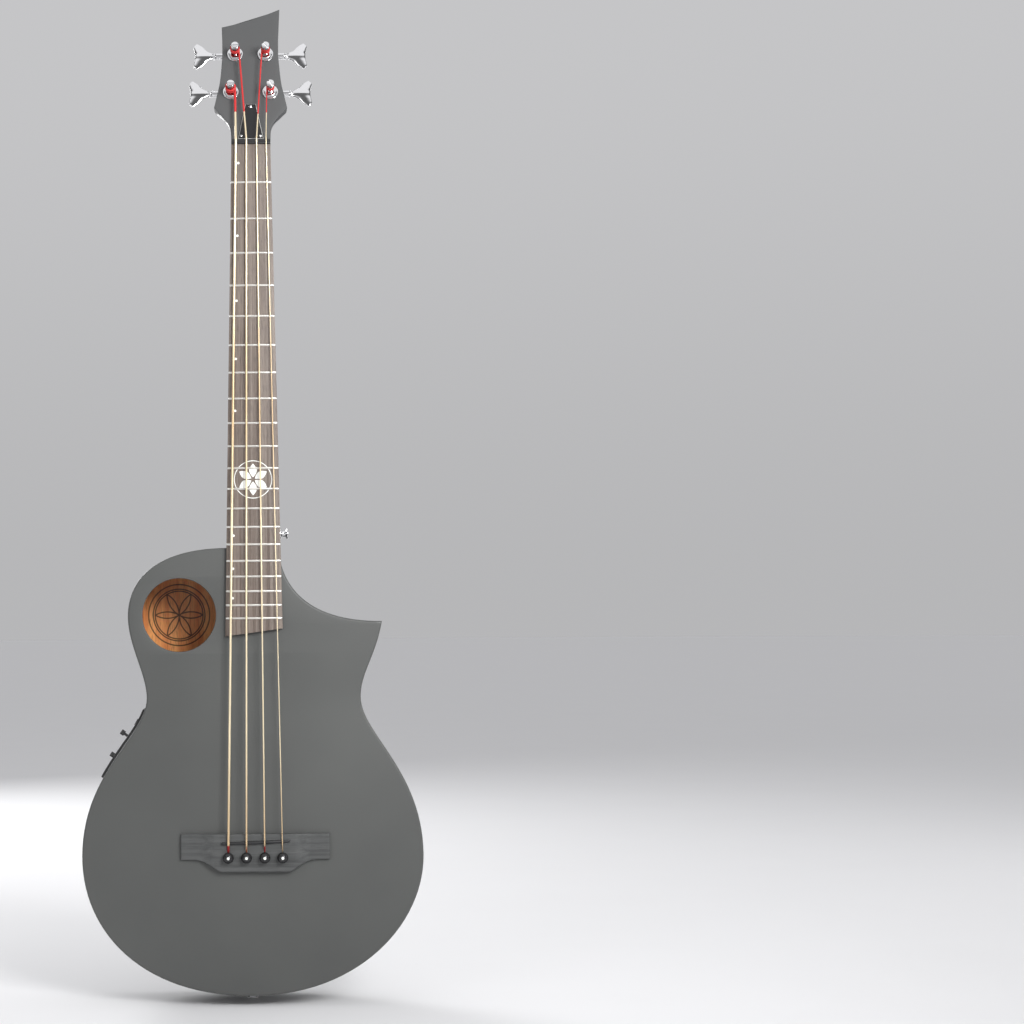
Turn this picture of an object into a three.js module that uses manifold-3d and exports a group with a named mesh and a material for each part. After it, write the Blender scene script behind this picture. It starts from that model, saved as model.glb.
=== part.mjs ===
// An acoustic bass guitar with one cutaway, built as it comes apart on a bench.
// Millimetres. +Z runs up the neck, the front faces -Y and +X is the treble side. The origin is
// the middle of the fingerboard's edge at the nut, on the playing surface.
import * as THREE from "three";
import { mergeVertices } from "three/addons/utils/BufferGeometryUtils.js";
import Module from "manifold-3d";

const wasm = await Module();
wasm.setup();

// Driving dimensions
const scaleLength = 762;
const compensation = 1.4; // how far beyond the scale the saddle stands
const fretCount = 20;
const nutWidth = 43;
const boardEndWidth = 62.5;
const boardRadius = 305;
const boardThickness = 6.2;
const bodyLength = 484;
const saddleUp = 165.6; // from the tail up to the saddle
const bodyJoin = scaleLength + compensation + saddleUp - bodyLength; // from nut to body
const lowerBout = 370;
const waistWidth = 233;
const upperBoutReach = 137.6;
const hornReach = 139.6;
const bodyDepthAtNeck = 82;
const bodyDepthAtTail = 95;
const backRise = 4;
const topThickness = 3.2;
const backThickness = 2.8;
const rimThickness = 2.6;
const headTilt = THREE.MathUtils.degToRad(15);
const headThickness = 14.5;
const headLength = 166.4;

// Clearances that every joint shares
const seat = 0.3; // between pieces that are glued or screwed together
const running = 0.35; // around a piece that turns or slides
const overrun = 6; // how far a cut runs on past the wood
const weld = 1e-4; // vertices closer than this are one

// Finishes
const matteBlack = { color: 0x3a3c3e, roughness: 0.62, metalness: 0 };
const satinBlack = { color: 0x17181a, roughness: 0.4, metalness: 0 };
const rosewood = { color: 0x4a3c36, roughness: 0.6, metalness: 0 };
const mahogany = { color: 0x8a4a2a, roughness: 0.7, metalness: 0 };
const spruce = { color: 0xc9a877, roughness: 0.75, metalness: 0 };
const ebony = { color: 0x1c1c1d, roughness: 0.5, metalness: 0 };
const gloss = { color: 0x0c0c0d, roughness: 0.15, metalness: 0 };
const chrome = { color: 0xd8dadd, roughness: 0.12, metalness: 1 };
const steel = { color: 0x9a9c9f, roughness: 0.35, metalness: 1 };
const bronze = { color: 0xc9a36a, roughness: 0.35, metalness: 1 };
const plastic = { color: 0x2b2c2e, roughness: 0.5, metalness: 0 };

const guitar = new THREE.Group();

// A closed surface from points and triangles, turned so that its faces point out
function closedSurface(points, triangles) {
  const volume = triangles.reduce((sum, [i, j, k]) => {
    const normal = points[j].clone().cross(points[k]);
    return sum + points[i].dot(normal);
  }, 0);
  const outward = triangles.map(([i, j, k]) => (volume > 0 ? [i, j, k] : [i, k, j]));
  const geometry = new THREE.BufferGeometry().setFromPoints(points);
  return geometry.setIndex(outward.flat());
}

// The same surface with its vertices merged and its collapsed faces dropped
function merged(geometry) {
  const bare = geometry.index ? geometry.toNonIndexed() : geometry.clone();
  bare.deleteAttribute("normal");
  bare.deleteAttribute("uv");
  const whole = mergeVertices(bare, weld);
  const place = whole.attributes.position;
  const points = Array.from({ length: place.count }, (_, i) =>
    new THREE.Vector3().fromBufferAttribute(place, i),
  );
  const corners = whole.index.array;
  const triangles = [];
  for (let n = 0; n < corners.length; n += 3) {
    const [i, j, k] = corners.slice(n, n + 3);
    if (i !== j && j !== k && k !== i) triangles.push([i, j, k]);
  }
  return closedSurface(points, triangles);
}

// A solid to join or cut, from a closed geometry
function solid(geometry) {
  const whole = merged(geometry);
  return new wasm.Manifold(
    new wasm.Mesh({
      numProp: 3,
      vertProperties: whole.attributes.position.array,
      triVerts: new Uint32Array(whole.index.array),
    }),
  );
}

function geometryOf(made) {
  const mesh = made.getMesh();
  const geometry = new THREE.BufferGeometry();
  geometry.setAttribute("position", new THREE.BufferAttribute(mesh.vertProperties, mesh.numProp));
  geometry.setIndex(new THREE.BufferAttribute(mesh.triVerts, 1));
  return geometry;
}

function cut(whole, ...tools) {
  return tools.reduce((left, tool) => left.subtract(tool), whole);
}

function join(...pieces) {
  return pieces.reduce((all, piece) => all.add(piece));
}

function add(parent, name, shape, finish) {
  const geometry = shape.isBufferGeometry ? merged(shape) : geometryOf(shape);
  const flat = geometry.toNonIndexed();
  flat.computeVertexNormals();
  const mesh = new THREE.Mesh(flat, new THREE.MeshStandardMaterial(finish));
  mesh.name = name;
  parent.add(mesh);
  return mesh;
}

// A flat outline drawn in x and z, made a slab in y; a face may be a number or a function of x, z
function slab(outline, front, back, hole) {
  const shape = new THREE.Shape(outline);
  if (hole) shape.holes.push(new THREE.Path(hole));
  const geometry = new THREE.ExtrudeGeometry(shape, { depth: 1, bevelEnabled: false, steps: 1 });
  geometry.rotateX(Math.PI / 2);
  const place = geometry.attributes.position;
  for (let i = 0; i < place.count; i += 1) {
    const face = place.getY(i) < -1 / 2 ? front : back;
    const y = typeof face === "function" ? face(place.getX(i), place.getZ(i)) : face;
    place.setY(i, y);
  }
  return geometry;
}

// A section drawn in x and y, run along z
function rail(section, low, high) {
  const shape = new THREE.Shape(section);
  const depth = high - low;
  const geometry = new THREE.ExtrudeGeometry(shape, { depth, bevelEnabled: false, steps: 1 });
  return geometry.translate(0, 0, low);
}

function box(lowX, highX, lowY, highY, lowZ, highZ) {
  const geometry = new THREE.BoxGeometry(highX - lowX, highY - lowY, highZ - lowZ);
  return geometry.translate((lowX + highX) / 2, (lowY + highY) / 2, (lowZ + highZ) / 2);
}

// A profile of radius and height turned about the Y axis
function turned(profile, sides) {
  const points = profile.map(([radius, y]) => new THREE.Vector2(radius, y));
  return new THREE.LatheGeometry(points, sides);
}

// A round bar or bore along Y
function round(radius, low, high, sides) {
  return turned([[0, low], [radius, low], [radius, high], [0, high]], sides);
}

function circle(x, z, radius, sides) {
  return Array.from({ length: sides }, (_, i) => {
    const angle = (2 * Math.PI * i) / sides;
    return new THREE.Vector2(x + radius * Math.cos(angle), z + radius * Math.sin(angle));
  });
}

// Slices of one point count, joined into a skin and closed with a fan at each end
function loft(slices) {
  const count = slices[0].length;
  const points = slices.flat();
  const triangles = [];
  for (let s = 0; s + 1 < slices.length; s += 1) {
    for (let i = 0; i < count; i += 1) {
      const next = (i + 1) % count;
      const [a, b] = [s * count + i, s * count + next];
      triangles.push([a, b, a + count], [b, b + count, a + count]);
    }
  }
  [0, slices.length - 1].forEach((s) => {
    const middle = slices[s].reduce((sum, p) => sum.add(p), new THREE.Vector3());
    points.push(middle.divideScalar(count));
    for (let i = 0; i < count; i += 1) {
      const edge = [s * count + i, s * count + ((i + 1) % count)];
      triangles.push([points.length - 1, ...(s ? edge : edge.reverse())]);
    }
  });
  return closedSurface(points, triangles);
}

// A round tube along points; each ring is turned as little as can be from the one before it
function tube(points, radii, sides) {
  let side = null;
  const slices = points.map((point, i) => {
    const before = points[Math.max(i - 1, 0)];
    const after = points[Math.min(i + 1, points.length - 1)];
    const along = after.clone().sub(before).normalize();
    const guess = side || new THREE.Vector3(1, 0, 0).addScaledVector(along, -along.x);
    side = guess.clone().addScaledVector(along, -guess.dot(along)).normalize();
    const other = along.clone().cross(side);
    const radius = Array.isArray(radii) ? radii[i] : radii;
    return circle(0, 0, radius, sides).map((p) =>
      point.clone().addScaledVector(side, p.x).addScaledVector(other, p.y),
    );
  });
  return loft(slices);
}

// Moves an outline sideways, inwards for one that runs anticlockwise, keeping its corners sharp
function inset(points, distance, closed = true) {
  const last = points.length - 1;
  const inward = (from, to) => {
    const way = to.clone().sub(from).normalize();
    return new THREE.Vector2(-way.y, way.x);
  };
  return points.map((point, i) => {
    const before = points[i ? i - 1 : last];
    const after = points[i < last ? i + 1 : 0];
    const first = i || closed ? inward(before, point) : inward(point, after);
    const second = i < last || closed ? inward(point, after) : first;
    const mitre = first.clone().add(second).divideScalar(1 + first.dot(second));
    return point.clone().addScaledVector(mitre, distance);
  });
}

// Levels in y that the body and neck share
const glueFace = boardThickness + seat; // front of the soundboard, and of the neck's wood
const topInside = glueFace + topThickness;
const bodyTop = -bodyJoin;
const tailZ = bodyTop - bodyLength;

function backFace(x, z) {
  const down = (bodyTop - z) / bodyLength;
  const across = x / (lowerBout / 2);
  const along = 2 * down - 1;
  const arch = 1 - across * across - along * along;
  const taper = (bodyDepthAtTail - bodyDepthAtNeck) * down;
  return glueFace + bodyDepthAtNeck + taper + backRise * arch;
}

function backInside(x, z) {
  return backFace(x, z) - backThickness;
}

// The body's outline: cubic curves between its widest and narrowest places, each with the shares
// of its width and height at which it leaves one place and comes in to the next
const neckCornerBass = 28;
const neckCornerTreble = 27;
const lowerBoutShift = -2.8; // the body sits a little to the bass side of the strings
const waistShift = -0.8;
const tailShift = -4;
const upperBoutShare = 0.153;
const hornShare = 0.167;
const waistShare = 0.337;
const lowerBoutShare = 0.69;
const curveSteps = 7;

function bend(path, x, z, leaveShares, arriveShares) {
  const from = path.currentPoint.clone();
  const dx = x - from.x;
  const dz = z - from.y;
  path.bezierCurveTo(
    from.x + leaveShares[0] * dx,
    from.y + leaveShares[1] * dz,
    x - arriveShares[0] * dx,
    z - arriveShares[1] * dz,
    x,
    z,
  );
}

function bodyOutline() {
  const down = (share) => bodyTop - share * bodyLength;
  const lowerHalf = lowerBout / 2;
  const waistHalf = waistWidth / 2;
  const path = new THREE.Path();
  path.moveTo(-neckCornerBass, bodyTop);
  bend(path, -upperBoutReach, down(upperBoutShare), [0.779, 0], [0, 0.478]);
  bend(path, waistShift - waistHalf, down(waistShare), [0, 0.36], [0, 0.292]);
  bend(path, lowerBoutShift - lowerHalf, down(lowerBoutShare), [0, 0.239], [0, 0.538]);
  bend(path, tailShift, down(1), [0, 0.534], [0.652, 0]);
  bend(path, lowerBoutShift + lowerHalf, down(lowerBoutShare), [0.62, 0], [0, 0.49]);
  bend(path, waistShift + waistHalf, down(waistShare), [0, 0.535], [0, 0.235]);
  bend(path, hornReach, down(hornShare), [0, 0.315], [0.28, 0.465]);
  bend(path, neckCornerTreble, bodyTop, [0.653, 0], [0.036, 0.616]);
  return path.getPoints(curveSteps);
}

const outline = bodyOutline();
const tailIndex = 4 * curveSteps;

// A solid with the outline given, arched behind: rings drawn in to the middle of the lower body
const archCentreShare = 0.56;
const ringShares = [1, 0.72, 0.4];

function arched(points, front, back) {
  const centre = new THREE.Vector2(0, bodyTop - archCentreShare * bodyLength);
  const count = points.length;
  const vertices = [];
  const triangles = [];
  const level = (face, p) => (typeof face === "function" ? face(p.x, p.y) : face);
  [front, back].forEach((face) => {
    ringShares.forEach((share) => {
      points.forEach((point) => {
        const p = centre.clone().lerp(point, share);
        vertices.push(new THREE.Vector3(p.x, level(face, p), p.y));
      });
    });
    vertices.push(new THREE.Vector3(centre.x, level(face, centre), centre.y));
  });
  const layer = count * ringShares.length + 1;
  for (let i = 0; i < count; i += 1) {
    const next = (i + 1) % count;
    [0, layer].forEach((start) => {
      const facing = start ? (t) => t : (t) => [t[0], t[2], t[1]];
      for (let ring = 0; ring + 1 < ringShares.length; ring += 1) {
        const a = start + ring * count + i;
        const b = start + ring * count + next;
        triangles.push(facing([a, b, a + count]), facing([b, b + count, a + count]));
      }
      const inner = start + (ringShares.length - 1) * count;
      triangles.push(facing([inner + i, inner + next, start + layer - 1]));
    });
    triangles.push([i, next, layer + i], [next, layer + next, layer + i]);
  }
  return closedSurface(vertices, triangles);
}

// The room inside the body, kept a margin away from the inner face of the rim
function cavity(margin) {
  const behind = (x, z) => backInside(x, z) - seat;
  return solid(arched(inset(outline, rimThickness + margin), topInside + seat, behind));
}

// Strings: where each crosses the nut and the bridge pins, and the post that it winds on
const [nutE, nutA, nutD, nutG] = [-16.6, -5, 6.3, 16.8];
const [pinE, pinA, pinD, pinG] = [-29.3, -9.7, 10, 29.3];
const [gaugeE, gaugeA, gaugeD, gaugeG] = [2.6, 2, 1.6, 1.15];
const strings = [
  { name: "e", nut: nutE, bridge: pinE, gauge: gaugeE, side: -1, row: 0, turns: 2.5 },
  { name: "a", nut: nutA, bridge: pinA, gauge: gaugeA, side: -1, row: 1, turns: 2.5 },
  { name: "d", nut: nutD, bridge: pinD, gauge: gaugeD, side: 1, row: 1, turns: 3 },
  { name: "g", nut: nutG, bridge: pinG, gauge: gaugeG, side: 1, row: 0, turns: 3.5 },
];
const fretHeight = 1;
const nutLift = 0.5; // from the plane of the frets to the strings at the nut
const saddleLift = 5.2; // the same at the saddle

function fretAt(number) {
  return scaleLength * (1 - 2 ** (-number / 12));
}

function crown(x) {
  return (x * x) / (2 * boardRadius);
}

// Bridge levels and the places along it
const bridgeThickness = 8.6;
const bridgeTop = boardThickness - bridgeThickness;
const saddleAt = scaleLength + compensation;
const saddleSlant = 0.035;
const saddleThickness = 3;
const pinSetback = 16; // from the saddle to the pins
const pinAt = saddleAt + pinSetback;
const pinZ = -pinAt;
const pinHeadRadius = 6;
const pinHeadRise = 3.6;
const pinShankRadius = 3;
const pinSides = 12;
const headSteps = 5;
const pinHeadY = bridgeTop - pinHeadRise;
const plateThickness = 2.5;
const plateBack = topInside + seat + plateThickness;

function stringX(string, z) {
  const down = z / pinZ;
  return string.nut + (string.bridge - string.nut) * down;
}

function saddleZ(x) {
  return -saddleAt + saddleSlant * x;
}

// Where a string leaves its pin hole and turns up its ramp towards the saddle
function rampFoot(string) {
  const clear = pinHeadRadius + string.gauge / 2 + seat;
  const below = Math.sqrt(clear * clear - pinShankRadius * pinShankRadius);
  return new THREE.Vector3(string.bridge, pinHeadY + below, pinZ + pinShankRadius);
}

function nutPoint(string) {
  const lift = fretHeight + nutLift + string.gauge / 2;
  return new THREE.Vector3(string.nut, crown(string.nut) - lift, 0);
}

// Just behind the saddle's back edge, where the string turns down to its pin
function saddlePoint(string) {
  const z = saddleZ(stringX(string, -saddleAt)) - saddleThickness / 2 - seat;
  const x = stringX(string, z);
  const lift = fretHeight + saddleLift + string.gauge / 2;
  return new THREE.Vector3(x, crown(x) - lift, z);
}

// A groove along a string, open to the front
function openGroove(from, to, radius, roof) {
  const corners = [from, to, to.clone().setY(roof), from.clone().setY(roof)];
  const slices = [-radius, radius].map((x) =>
    corners.map((p) => p.clone().add(new THREE.Vector3(x, 0, 0))),
  );
  return join(solid(tube([from, to], radius, pinSides)), solid(loft(slices)));
}

// What is taken out of bridge, soundboard and plate for one pin and its string
function pinHole(string) {
  const hole = solid(round(pinShankRadius + running, pinHeadY, plateBack + overrun, pinSides));
  const notch = solid(round(string.gauge / 2 + seat, pinHeadY, plateBack + overrun, pinSides));
  return join(
    hole.translate([string.bridge, 0, pinZ]),
    notch.translate([string.bridge, 0, pinZ + pinShankRadius]),
  );
}

// Soundboard, with the soundhole in its upper bass corner
const soundholeX = -81.5;
const soundholeDown = 73; // from the body's top edge
const soundholeRadius = 40;
const soundholeSides = 32;

const soundhole = circle(soundholeX, bodyTop - soundholeDown, soundholeRadius, soundholeSides);
const soundboard = solid(slab(outline, glueFace, topInside, soundhole));
add(guitar, "soundboard", cut(soundboard, ...strings.map(pinHole)), matteBlack);

// Back, arched, and the rim between the two plates
add(guitar, "back_plate", arched(outline, backInside, backFace), matteBlack);

const rimFront = topInside + seat;
const rimBack = (x, z) => backInside(x, z) - seat;
const rimRing = solid(slab(outline, rimFront, rimBack, inset(outline, rimThickness)));

// The stretch of the rim between two heights, as outline points, on the bass or treble side
function rimStretch(side, high, low) {
  const half = side < 0 ? outline.slice(0, tailIndex + 1) : outline.slice(tailIndex);
  const crossing = (z) => {
    const i = half.findIndex((p, n) => n && (p.y - z) * (half[n - 1].y - z) <= 0);
    const share = (z - half[i - 1].y) / (half[i].y - half[i - 1].y);
    return half[i - 1].clone().lerp(half[i], share);
  };
  const ends = [crossing(high), crossing(low)];
  const inner = half.filter((p) => p.y < high && p.y > low);
  return side < 0 ? [ends[0], ...inner, ends[1]] : [ends[1], ...inner, ends[0]];
}

// The frame at a share of a stretch's length: x along it, y to the back and z out of the rim
function rimFrame(stretch, share, depth) {
  const steps = stretch.slice(1).map((p, i) => p.distanceTo(stretch[i]));
  let left = share * steps.reduce((sum, step) => sum + step, 0);
  let i = 0;
  while (i < steps.length - 1 && left > steps[i]) {
    left -= steps[i];
    i += 1;
  }
  const point = stretch[i].clone().lerp(stretch[i + 1], left / steps[i]);
  const way = stretch[i].clone().sub(stretch[i + 1]).normalize();
  const along = new THREE.Vector3(way.x, 0, way.y);
  const back = new THREE.Vector3(0, 1, 0);
  const frame = new THREE.Matrix4().makeBasis(along, back, along.clone().cross(back));
  return frame.setPosition(point.x, depth, point.y);
}

function roundedRectangle(length, width, corner) {
  const shape = new THREE.Shape();
  const [x, y] = [length / 2, width / 2];
  shape.moveTo(corner - x, -y);
  shape.lineTo(x - corner, -y);
  shape.absarc(x - corner, corner - y, corner, -Math.PI / 2, 0);
  shape.absarc(x - corner, y - corner, corner, 0, Math.PI / 2);
  shape.absarc(corner - x, y - corner, corner, Math.PI / 2, Math.PI);
  shape.absarc(corner - x, corner - y, corner, Math.PI, 1.5 * Math.PI);
  return shape;
}

// A plate that lies on the rim, bent with it, with rounded corners
const cornerSteps = 3;

function rimPlate(stretch, depth, width, thickness, corner) {
  const inner = inset(stretch, -seat, false);
  const outer = inset(stretch, -seat - thickness, false).reverse();
  const bent = solid(slab([...inner, ...outer], depth - width / 2, depth + width / 2));
  const length = stretch[0].distanceTo(stretch[stretch.length - 1]);
  const shape = roundedRectangle(length, width, corner);
  const reach = { depth: length, bevelEnabled: false, curveSegments: cornerSteps };
  const block = new THREE.ExtrudeGeometry(shape, reach).translate(0, 0, -length / 2);
  const frame = rimFrame([stretch[0], stretch[stretch.length - 1]], 1 / 2, depth);
  return bent.intersect(solid(block.applyMatrix4(frame)));
}

// A round piece with its axis along z, for what stands on the rim
function upright(profile, sides) {
  return turned(profile, sides).rotateX(Math.PI / 2);
}

// Preamp on the bass side of the rim: panel, case, two knobs and a push button
const preampDown = 177; // from the body's top edge to the panel's upper end
const preampLength = 75;
const preampWidth = 42;
const preampThickness = 3;
const preampCorner = 5;
const preampDepth = 50;
const caseLength = 74;
const caseWidth = 34;
const caseReach = 36;
const volumeShare = 0.41; // of the panel's length, from its upper end
const volumeRadius = 2.9;
const volumeHeight = 9;
const volumeCap = 4.6;
const volumeStem = 1.5;
const toneShare = 0.71;
const toneRadius = 2.75;
const toneHeight = 5;
const pushShare = 0.2;
const pushRadius = 4;
const pushHeight = 0.9;
const pushSink = 1.6;
const controlSides = 12;

const preampHigh = bodyTop - preampDown;
const preampStretch = rimStretch(-1, preampHigh, preampHigh - preampLength);
const panelTop = seat + preampThickness; // height of the panel's face above the rim
const preampMiddle = rimFrame(preampStretch, 1 / 2, preampDepth);

function caseBox(clearance) {
  const [x, y] = [caseLength / 2 + clearance, caseWidth / 2 + clearance];
  const geometry = box(-x, x, -y, y, -caseReach, overrun);
  return solid(geometry.applyMatrix4(preampMiddle));
}

function panelHole(share, radius) {
  const hole = upright([[0, -overrun], [radius, -overrun], [radius, overrun], [0, overrun]],
    controlSides);
  return solid(hole.applyMatrix4(rimFrame(preampStretch, share, preampDepth)));
}

const insideOutline = solid(slab(outline, 0, backFace(0, bodyTop - bodyLength / 2)));
add(
  guitar,
  "preamp_panel",
  cut(
    rimPlate(preampStretch, preampDepth, preampWidth, preampThickness, preampCorner),
    panelHole(volumeShare, volumeStem + running),
    panelHole(toneShare, toneRadius + running),
    panelHole(pushShare, pushRadius + running),
  ),
  plastic,
);
add(guitar, "preamp_case", caseBox(0).intersect(insideOutline), plastic);

function control(name, share, profile) {
  const frame = rimFrame(preampStretch, share, preampDepth);
  add(guitar, name, upright(profile, controlSides).applyMatrix4(frame), plastic);
}

control("volume_knob", volumeShare, [
  [0, seat],
  [volumeStem, seat],
  [volumeStem, panelTop + volumeHeight - volumeCap],
  [volumeRadius, panelTop + volumeHeight - volumeCap],
  [volumeRadius, panelTop + volumeHeight - seat],
  [volumeRadius - seat, panelTop + volumeHeight],
  [0, panelTop + volumeHeight],
]);
control("tone_knob", toneShare, [
  [0, seat],
  [toneRadius, seat],
  [toneRadius, panelTop + toneHeight - seat],
  [toneRadius - seat, panelTop + toneHeight],
  [0, panelTop + toneHeight],
]);
control("tuner_button", pushShare, [
  [0, panelTop - pushSink],
  [pushRadius, panelTop - pushSink],
  [pushRadius, panelTop + pushHeight - seat],
  [pushRadius - seat, panelTop + pushHeight],
  [0, panelTop + pushHeight],
]);

// Output jack in its plate, low on the treble side of the rim
const jackUp = 55; // from the tail to the plate's lower end
const jackPlateLength = 38;
const jackPlateWidth = 36;
const jackPlateThickness = 2;
const jackPlateCorner = 7;
const jackDepth = 52;
const jackBarrelRadius = 4.7;
const jackBarrelLength = 26;
const jackNutRadius = 7.2;
const jackNutHeight = 2.6;
const jackBoreRadius = 3.3;
const jackMouthRadius = 4.4; // widened where the plug goes in
const jackMouthDepth = 1.6;
const jackBoreLength = 22;
const jackBodyRadius = 9;
const jackBodyGap = 3;
const jackSides = 14;

const jackLow = tailZ + jackUp;
const jackStretch = rimStretch(1, jackLow + jackPlateLength, jackLow);
const jackFrame = rimFrame(jackStretch, 1 / 2, jackDepth);
const jackFace = seat + jackPlateThickness;
const jackHole = solid(
  upright(
    [
      [0, -overrun],
      [jackBarrelRadius + seat, -overrun],
      [jackBarrelRadius + seat, overrun],
      [0, overrun],
    ],
    jackSides,
  ).applyMatrix4(jackFrame),
);
add(
  guitar,
  "jack_plate",
  cut(
    rimPlate(jackStretch, jackDepth, jackPlateWidth, jackPlateThickness, jackPlateCorner),
    jackHole,
  ),
  plastic,
);
const jackProfile = [
  [0, -jackBarrelLength],
  [jackBodyRadius, -jackBarrelLength],
  [jackBodyRadius, -rimThickness - jackBodyGap],
  [jackBarrelRadius, -rimThickness - jackBodyGap],
  [jackBarrelRadius, jackFace + seat],
  [jackNutRadius, jackFace + seat],
  [jackNutRadius, jackFace + seat + jackNutHeight],
  [jackMouthRadius, jackFace + seat + jackNutHeight],
  [jackBoreRadius, jackFace + jackNutHeight - jackMouthDepth],
  [jackBoreRadius, jackFace + jackNutHeight - jackBoreLength],
  [0, jackFace + jackNutHeight - jackBoreLength],
];
add(guitar, "output_jack", upright(jackProfile, jackSides).applyMatrix4(jackFrame), chrome);

// Neck block and tail block, let in round the linings that hold the plates to the rim
const liningWidth = 6;
const liningHeight = 12;
const blockHalf = 42;
const neckBlockLength = 44;
const tailBlockHalf = 45;
const tailBlockLength = 22;
const tenonHalf = 12;
const tenonLength = 20;
const tenonFrontGap = 3;
const tenonDepth = 40;

function liningRing(clearance, front, back) {
  const outer = inset(outline, rimThickness + seat - clearance);
  const inner = inset(outline, rimThickness + seat + liningWidth + clearance);
  return solid(slab(outer, front, back, inner));
}

const topLining = [topInside + seat, topInside + seat + liningHeight];
const backLiningFront = (x, z) => backInside(x, z) - seat - liningHeight;
const backLiningBack = (x, z) => backInside(x, z) - seat;
add(guitar, "top_lining", liningRing(0, ...topLining), spruce);
add(guitar, "back_lining", liningRing(0, backLiningFront, backLiningBack), spruce);

const liningRoom = join(
  liningRing(seat, topLining[0] - overrun, topLining[1] + seat),
  liningRing(seat, (x, z) => backLiningFront(x, z) - seat, (x, z) => backInside(x, z) + overrun),
);

const tenonFront = topLining[1] + seat + tenonFrontGap;

function tenonBox(clearance) {
  return solid(
    box(
      -tenonHalf - clearance,
      tenonHalf + clearance,
      tenonFront - clearance,
      tenonFront + tenonDepth + clearance,
      bodyTop - tenonLength - clearance,
      bodyTop + overrun,
    ),
  );
}

function deepBox(half, high, low) {
  return solid(box(-half, half, 0, backFace(0, bodyTop - bodyLength / 2), low, high));
}

const neckBlock = deepBox(blockHalf, bodyTop, bodyTop - neckBlockLength);
add(
  guitar,
  "neck_block",
  cut(neckBlock.intersect(cavity(seat)), liningRoom, tenonBox(seat)),
  mahogany,
);

// Strap buttons: one screwed into the heel, one into the tail
const buttonFlange = 6.4;
const buttonFlangeHeight = 1.4;
const buttonWaist = 3.4;
const buttonHead = 6;
const buttonHeadHeight = 2.4;
const buttonReach = 9.6;
const screwRadius = 2;
const screwLength = 16;
const buttonSides = 12;
const heelButtonAbove = 16; // over the body's top edge
const heelButtonDepth = 27; // behind the neck's glue face
const tailButtonDepth = 50;

const strapButtonProfile = [
  [0, -screwLength],
  [screwRadius, -screwLength],
  [screwRadius, seat],
  [buttonFlange, seat],
  [buttonFlange, seat + buttonFlangeHeight],
  [buttonWaist, seat + 2 * buttonFlangeHeight],
  [buttonWaist, buttonReach - buttonHeadHeight],
  [buttonHead, buttonReach - buttonHeadHeight / 2],
  [buttonHead, buttonReach - seat],
  [buttonHead - seat, buttonReach],
  [0, buttonReach],
];

function strapButton(place) {
  return turned(strapButtonProfile, buttonSides).applyMatrix4(place);
}

// The screw's hole, with a flat cut for the flange
function screwHole(place) {
  const hole = turned(
    [
      [0, -screwLength - seat],
      [screwRadius + seat, -screwLength - seat],
      [screwRadius + seat, 0],
      [buttonFlange + seat, 0],
      [buttonFlange + seat, overrun],
      [0, overrun],
    ],
    buttonSides,
  );
  return solid(hole.applyMatrix4(place));
}

const tailPlace = new THREE.Matrix4().makeRotationX(-Math.PI / 2);
tailPlace.setPosition(tailShift, tailButtonDepth, tailZ);
add(guitar, "end_pin", strapButton(tailPlace), chrome);

const tailBlock = deepBox(tailBlockHalf, tailZ + tailBlockLength, tailZ);
add(
  guitar,
  "tail_block",
  cut(tailBlock.intersect(cavity(seat)), liningRoom, screwHole(tailPlace)),
  mahogany,
);

add(
  guitar,
  "rim",
  cut(rimRing, tenonBox(seat), caseBox(seat), jackHole, screwHole(tailPlace)),
  matteBlack,
);

// Braces: an X with a lapped crossing, a tone bar and an upper bar under the soundboard
const braceWidth = 9;
const braceHeight = 14;
const toneBarShare = 0.7; // of the height of the X
const upperBarShare = 0.8;
const braceFront = topInside + seat;
const liningInner = rimThickness + seat + liningWidth;

// A straight bar between two places, each given as shares of the body's half width and length
function bar(fromShares, toShares, width) {
  const place = ([across, down]) =>
    new THREE.Vector2((across * lowerBout) / 2, bodyTop - down * bodyLength);
  const line = [place(fromShares), place(toShares)];
  const [left, right] = [inset(line, width / 2, false), inset(line, -width / 2, false)];
  return [...right, ...left.reverse()];
}

const braceRoom = cavity(seat + liningWidth + seat);
const crossBass = [[-0.42, 0.27], [0.86, 0.76]];
const crossTreble = [[0.48, 0.25], [-0.88, 0.76]];
const lapLevel = braceFront + braceHeight / 2;

function brace(shares, height) {
  const footprint = bar(...shares, braceWidth);
  return solid(slab(footprint, braceFront, braceFront + height)).intersect(braceRoom);
}

function lap(shares, front, back) {
  return solid(slab(bar(...shares, braceWidth + 2 * seat), front, back));
}

add(
  guitar,
  "x_brace_bass",
  cut(brace(crossBass, braceHeight), lap(crossTreble, lapLevel - seat / 2, plateBack + braceHeight)),
  spruce,
);
add(
  guitar,
  "x_brace_treble",
  cut(brace(crossTreble, braceHeight), lap(crossBass, braceFront - overrun, lapLevel + seat / 2)),
  spruce,
);
const toneBar = [[-0.3, 0.8], [0.52, 0.9]];
const upperBar = [[-0.19, 0.115], [0.42, 0.145]];
add(guitar, "tone_bar", brace(toneBar, braceHeight * toneBarShare), spruce);
const blockRoom = deepBox(blockHalf + seat, bodyTop, bodyTop - neckBlockLength - seat);
add(
  guitar,
  "upper_brace",
  cut(brace(upperBar, braceHeight * upperBarShare), blockRoom),
  spruce,
);

// Three bars across the arched back, each following its curve
const backBraceShares = [0.3, 0.52, 0.76];
const backBraceSteps = 6;

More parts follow.
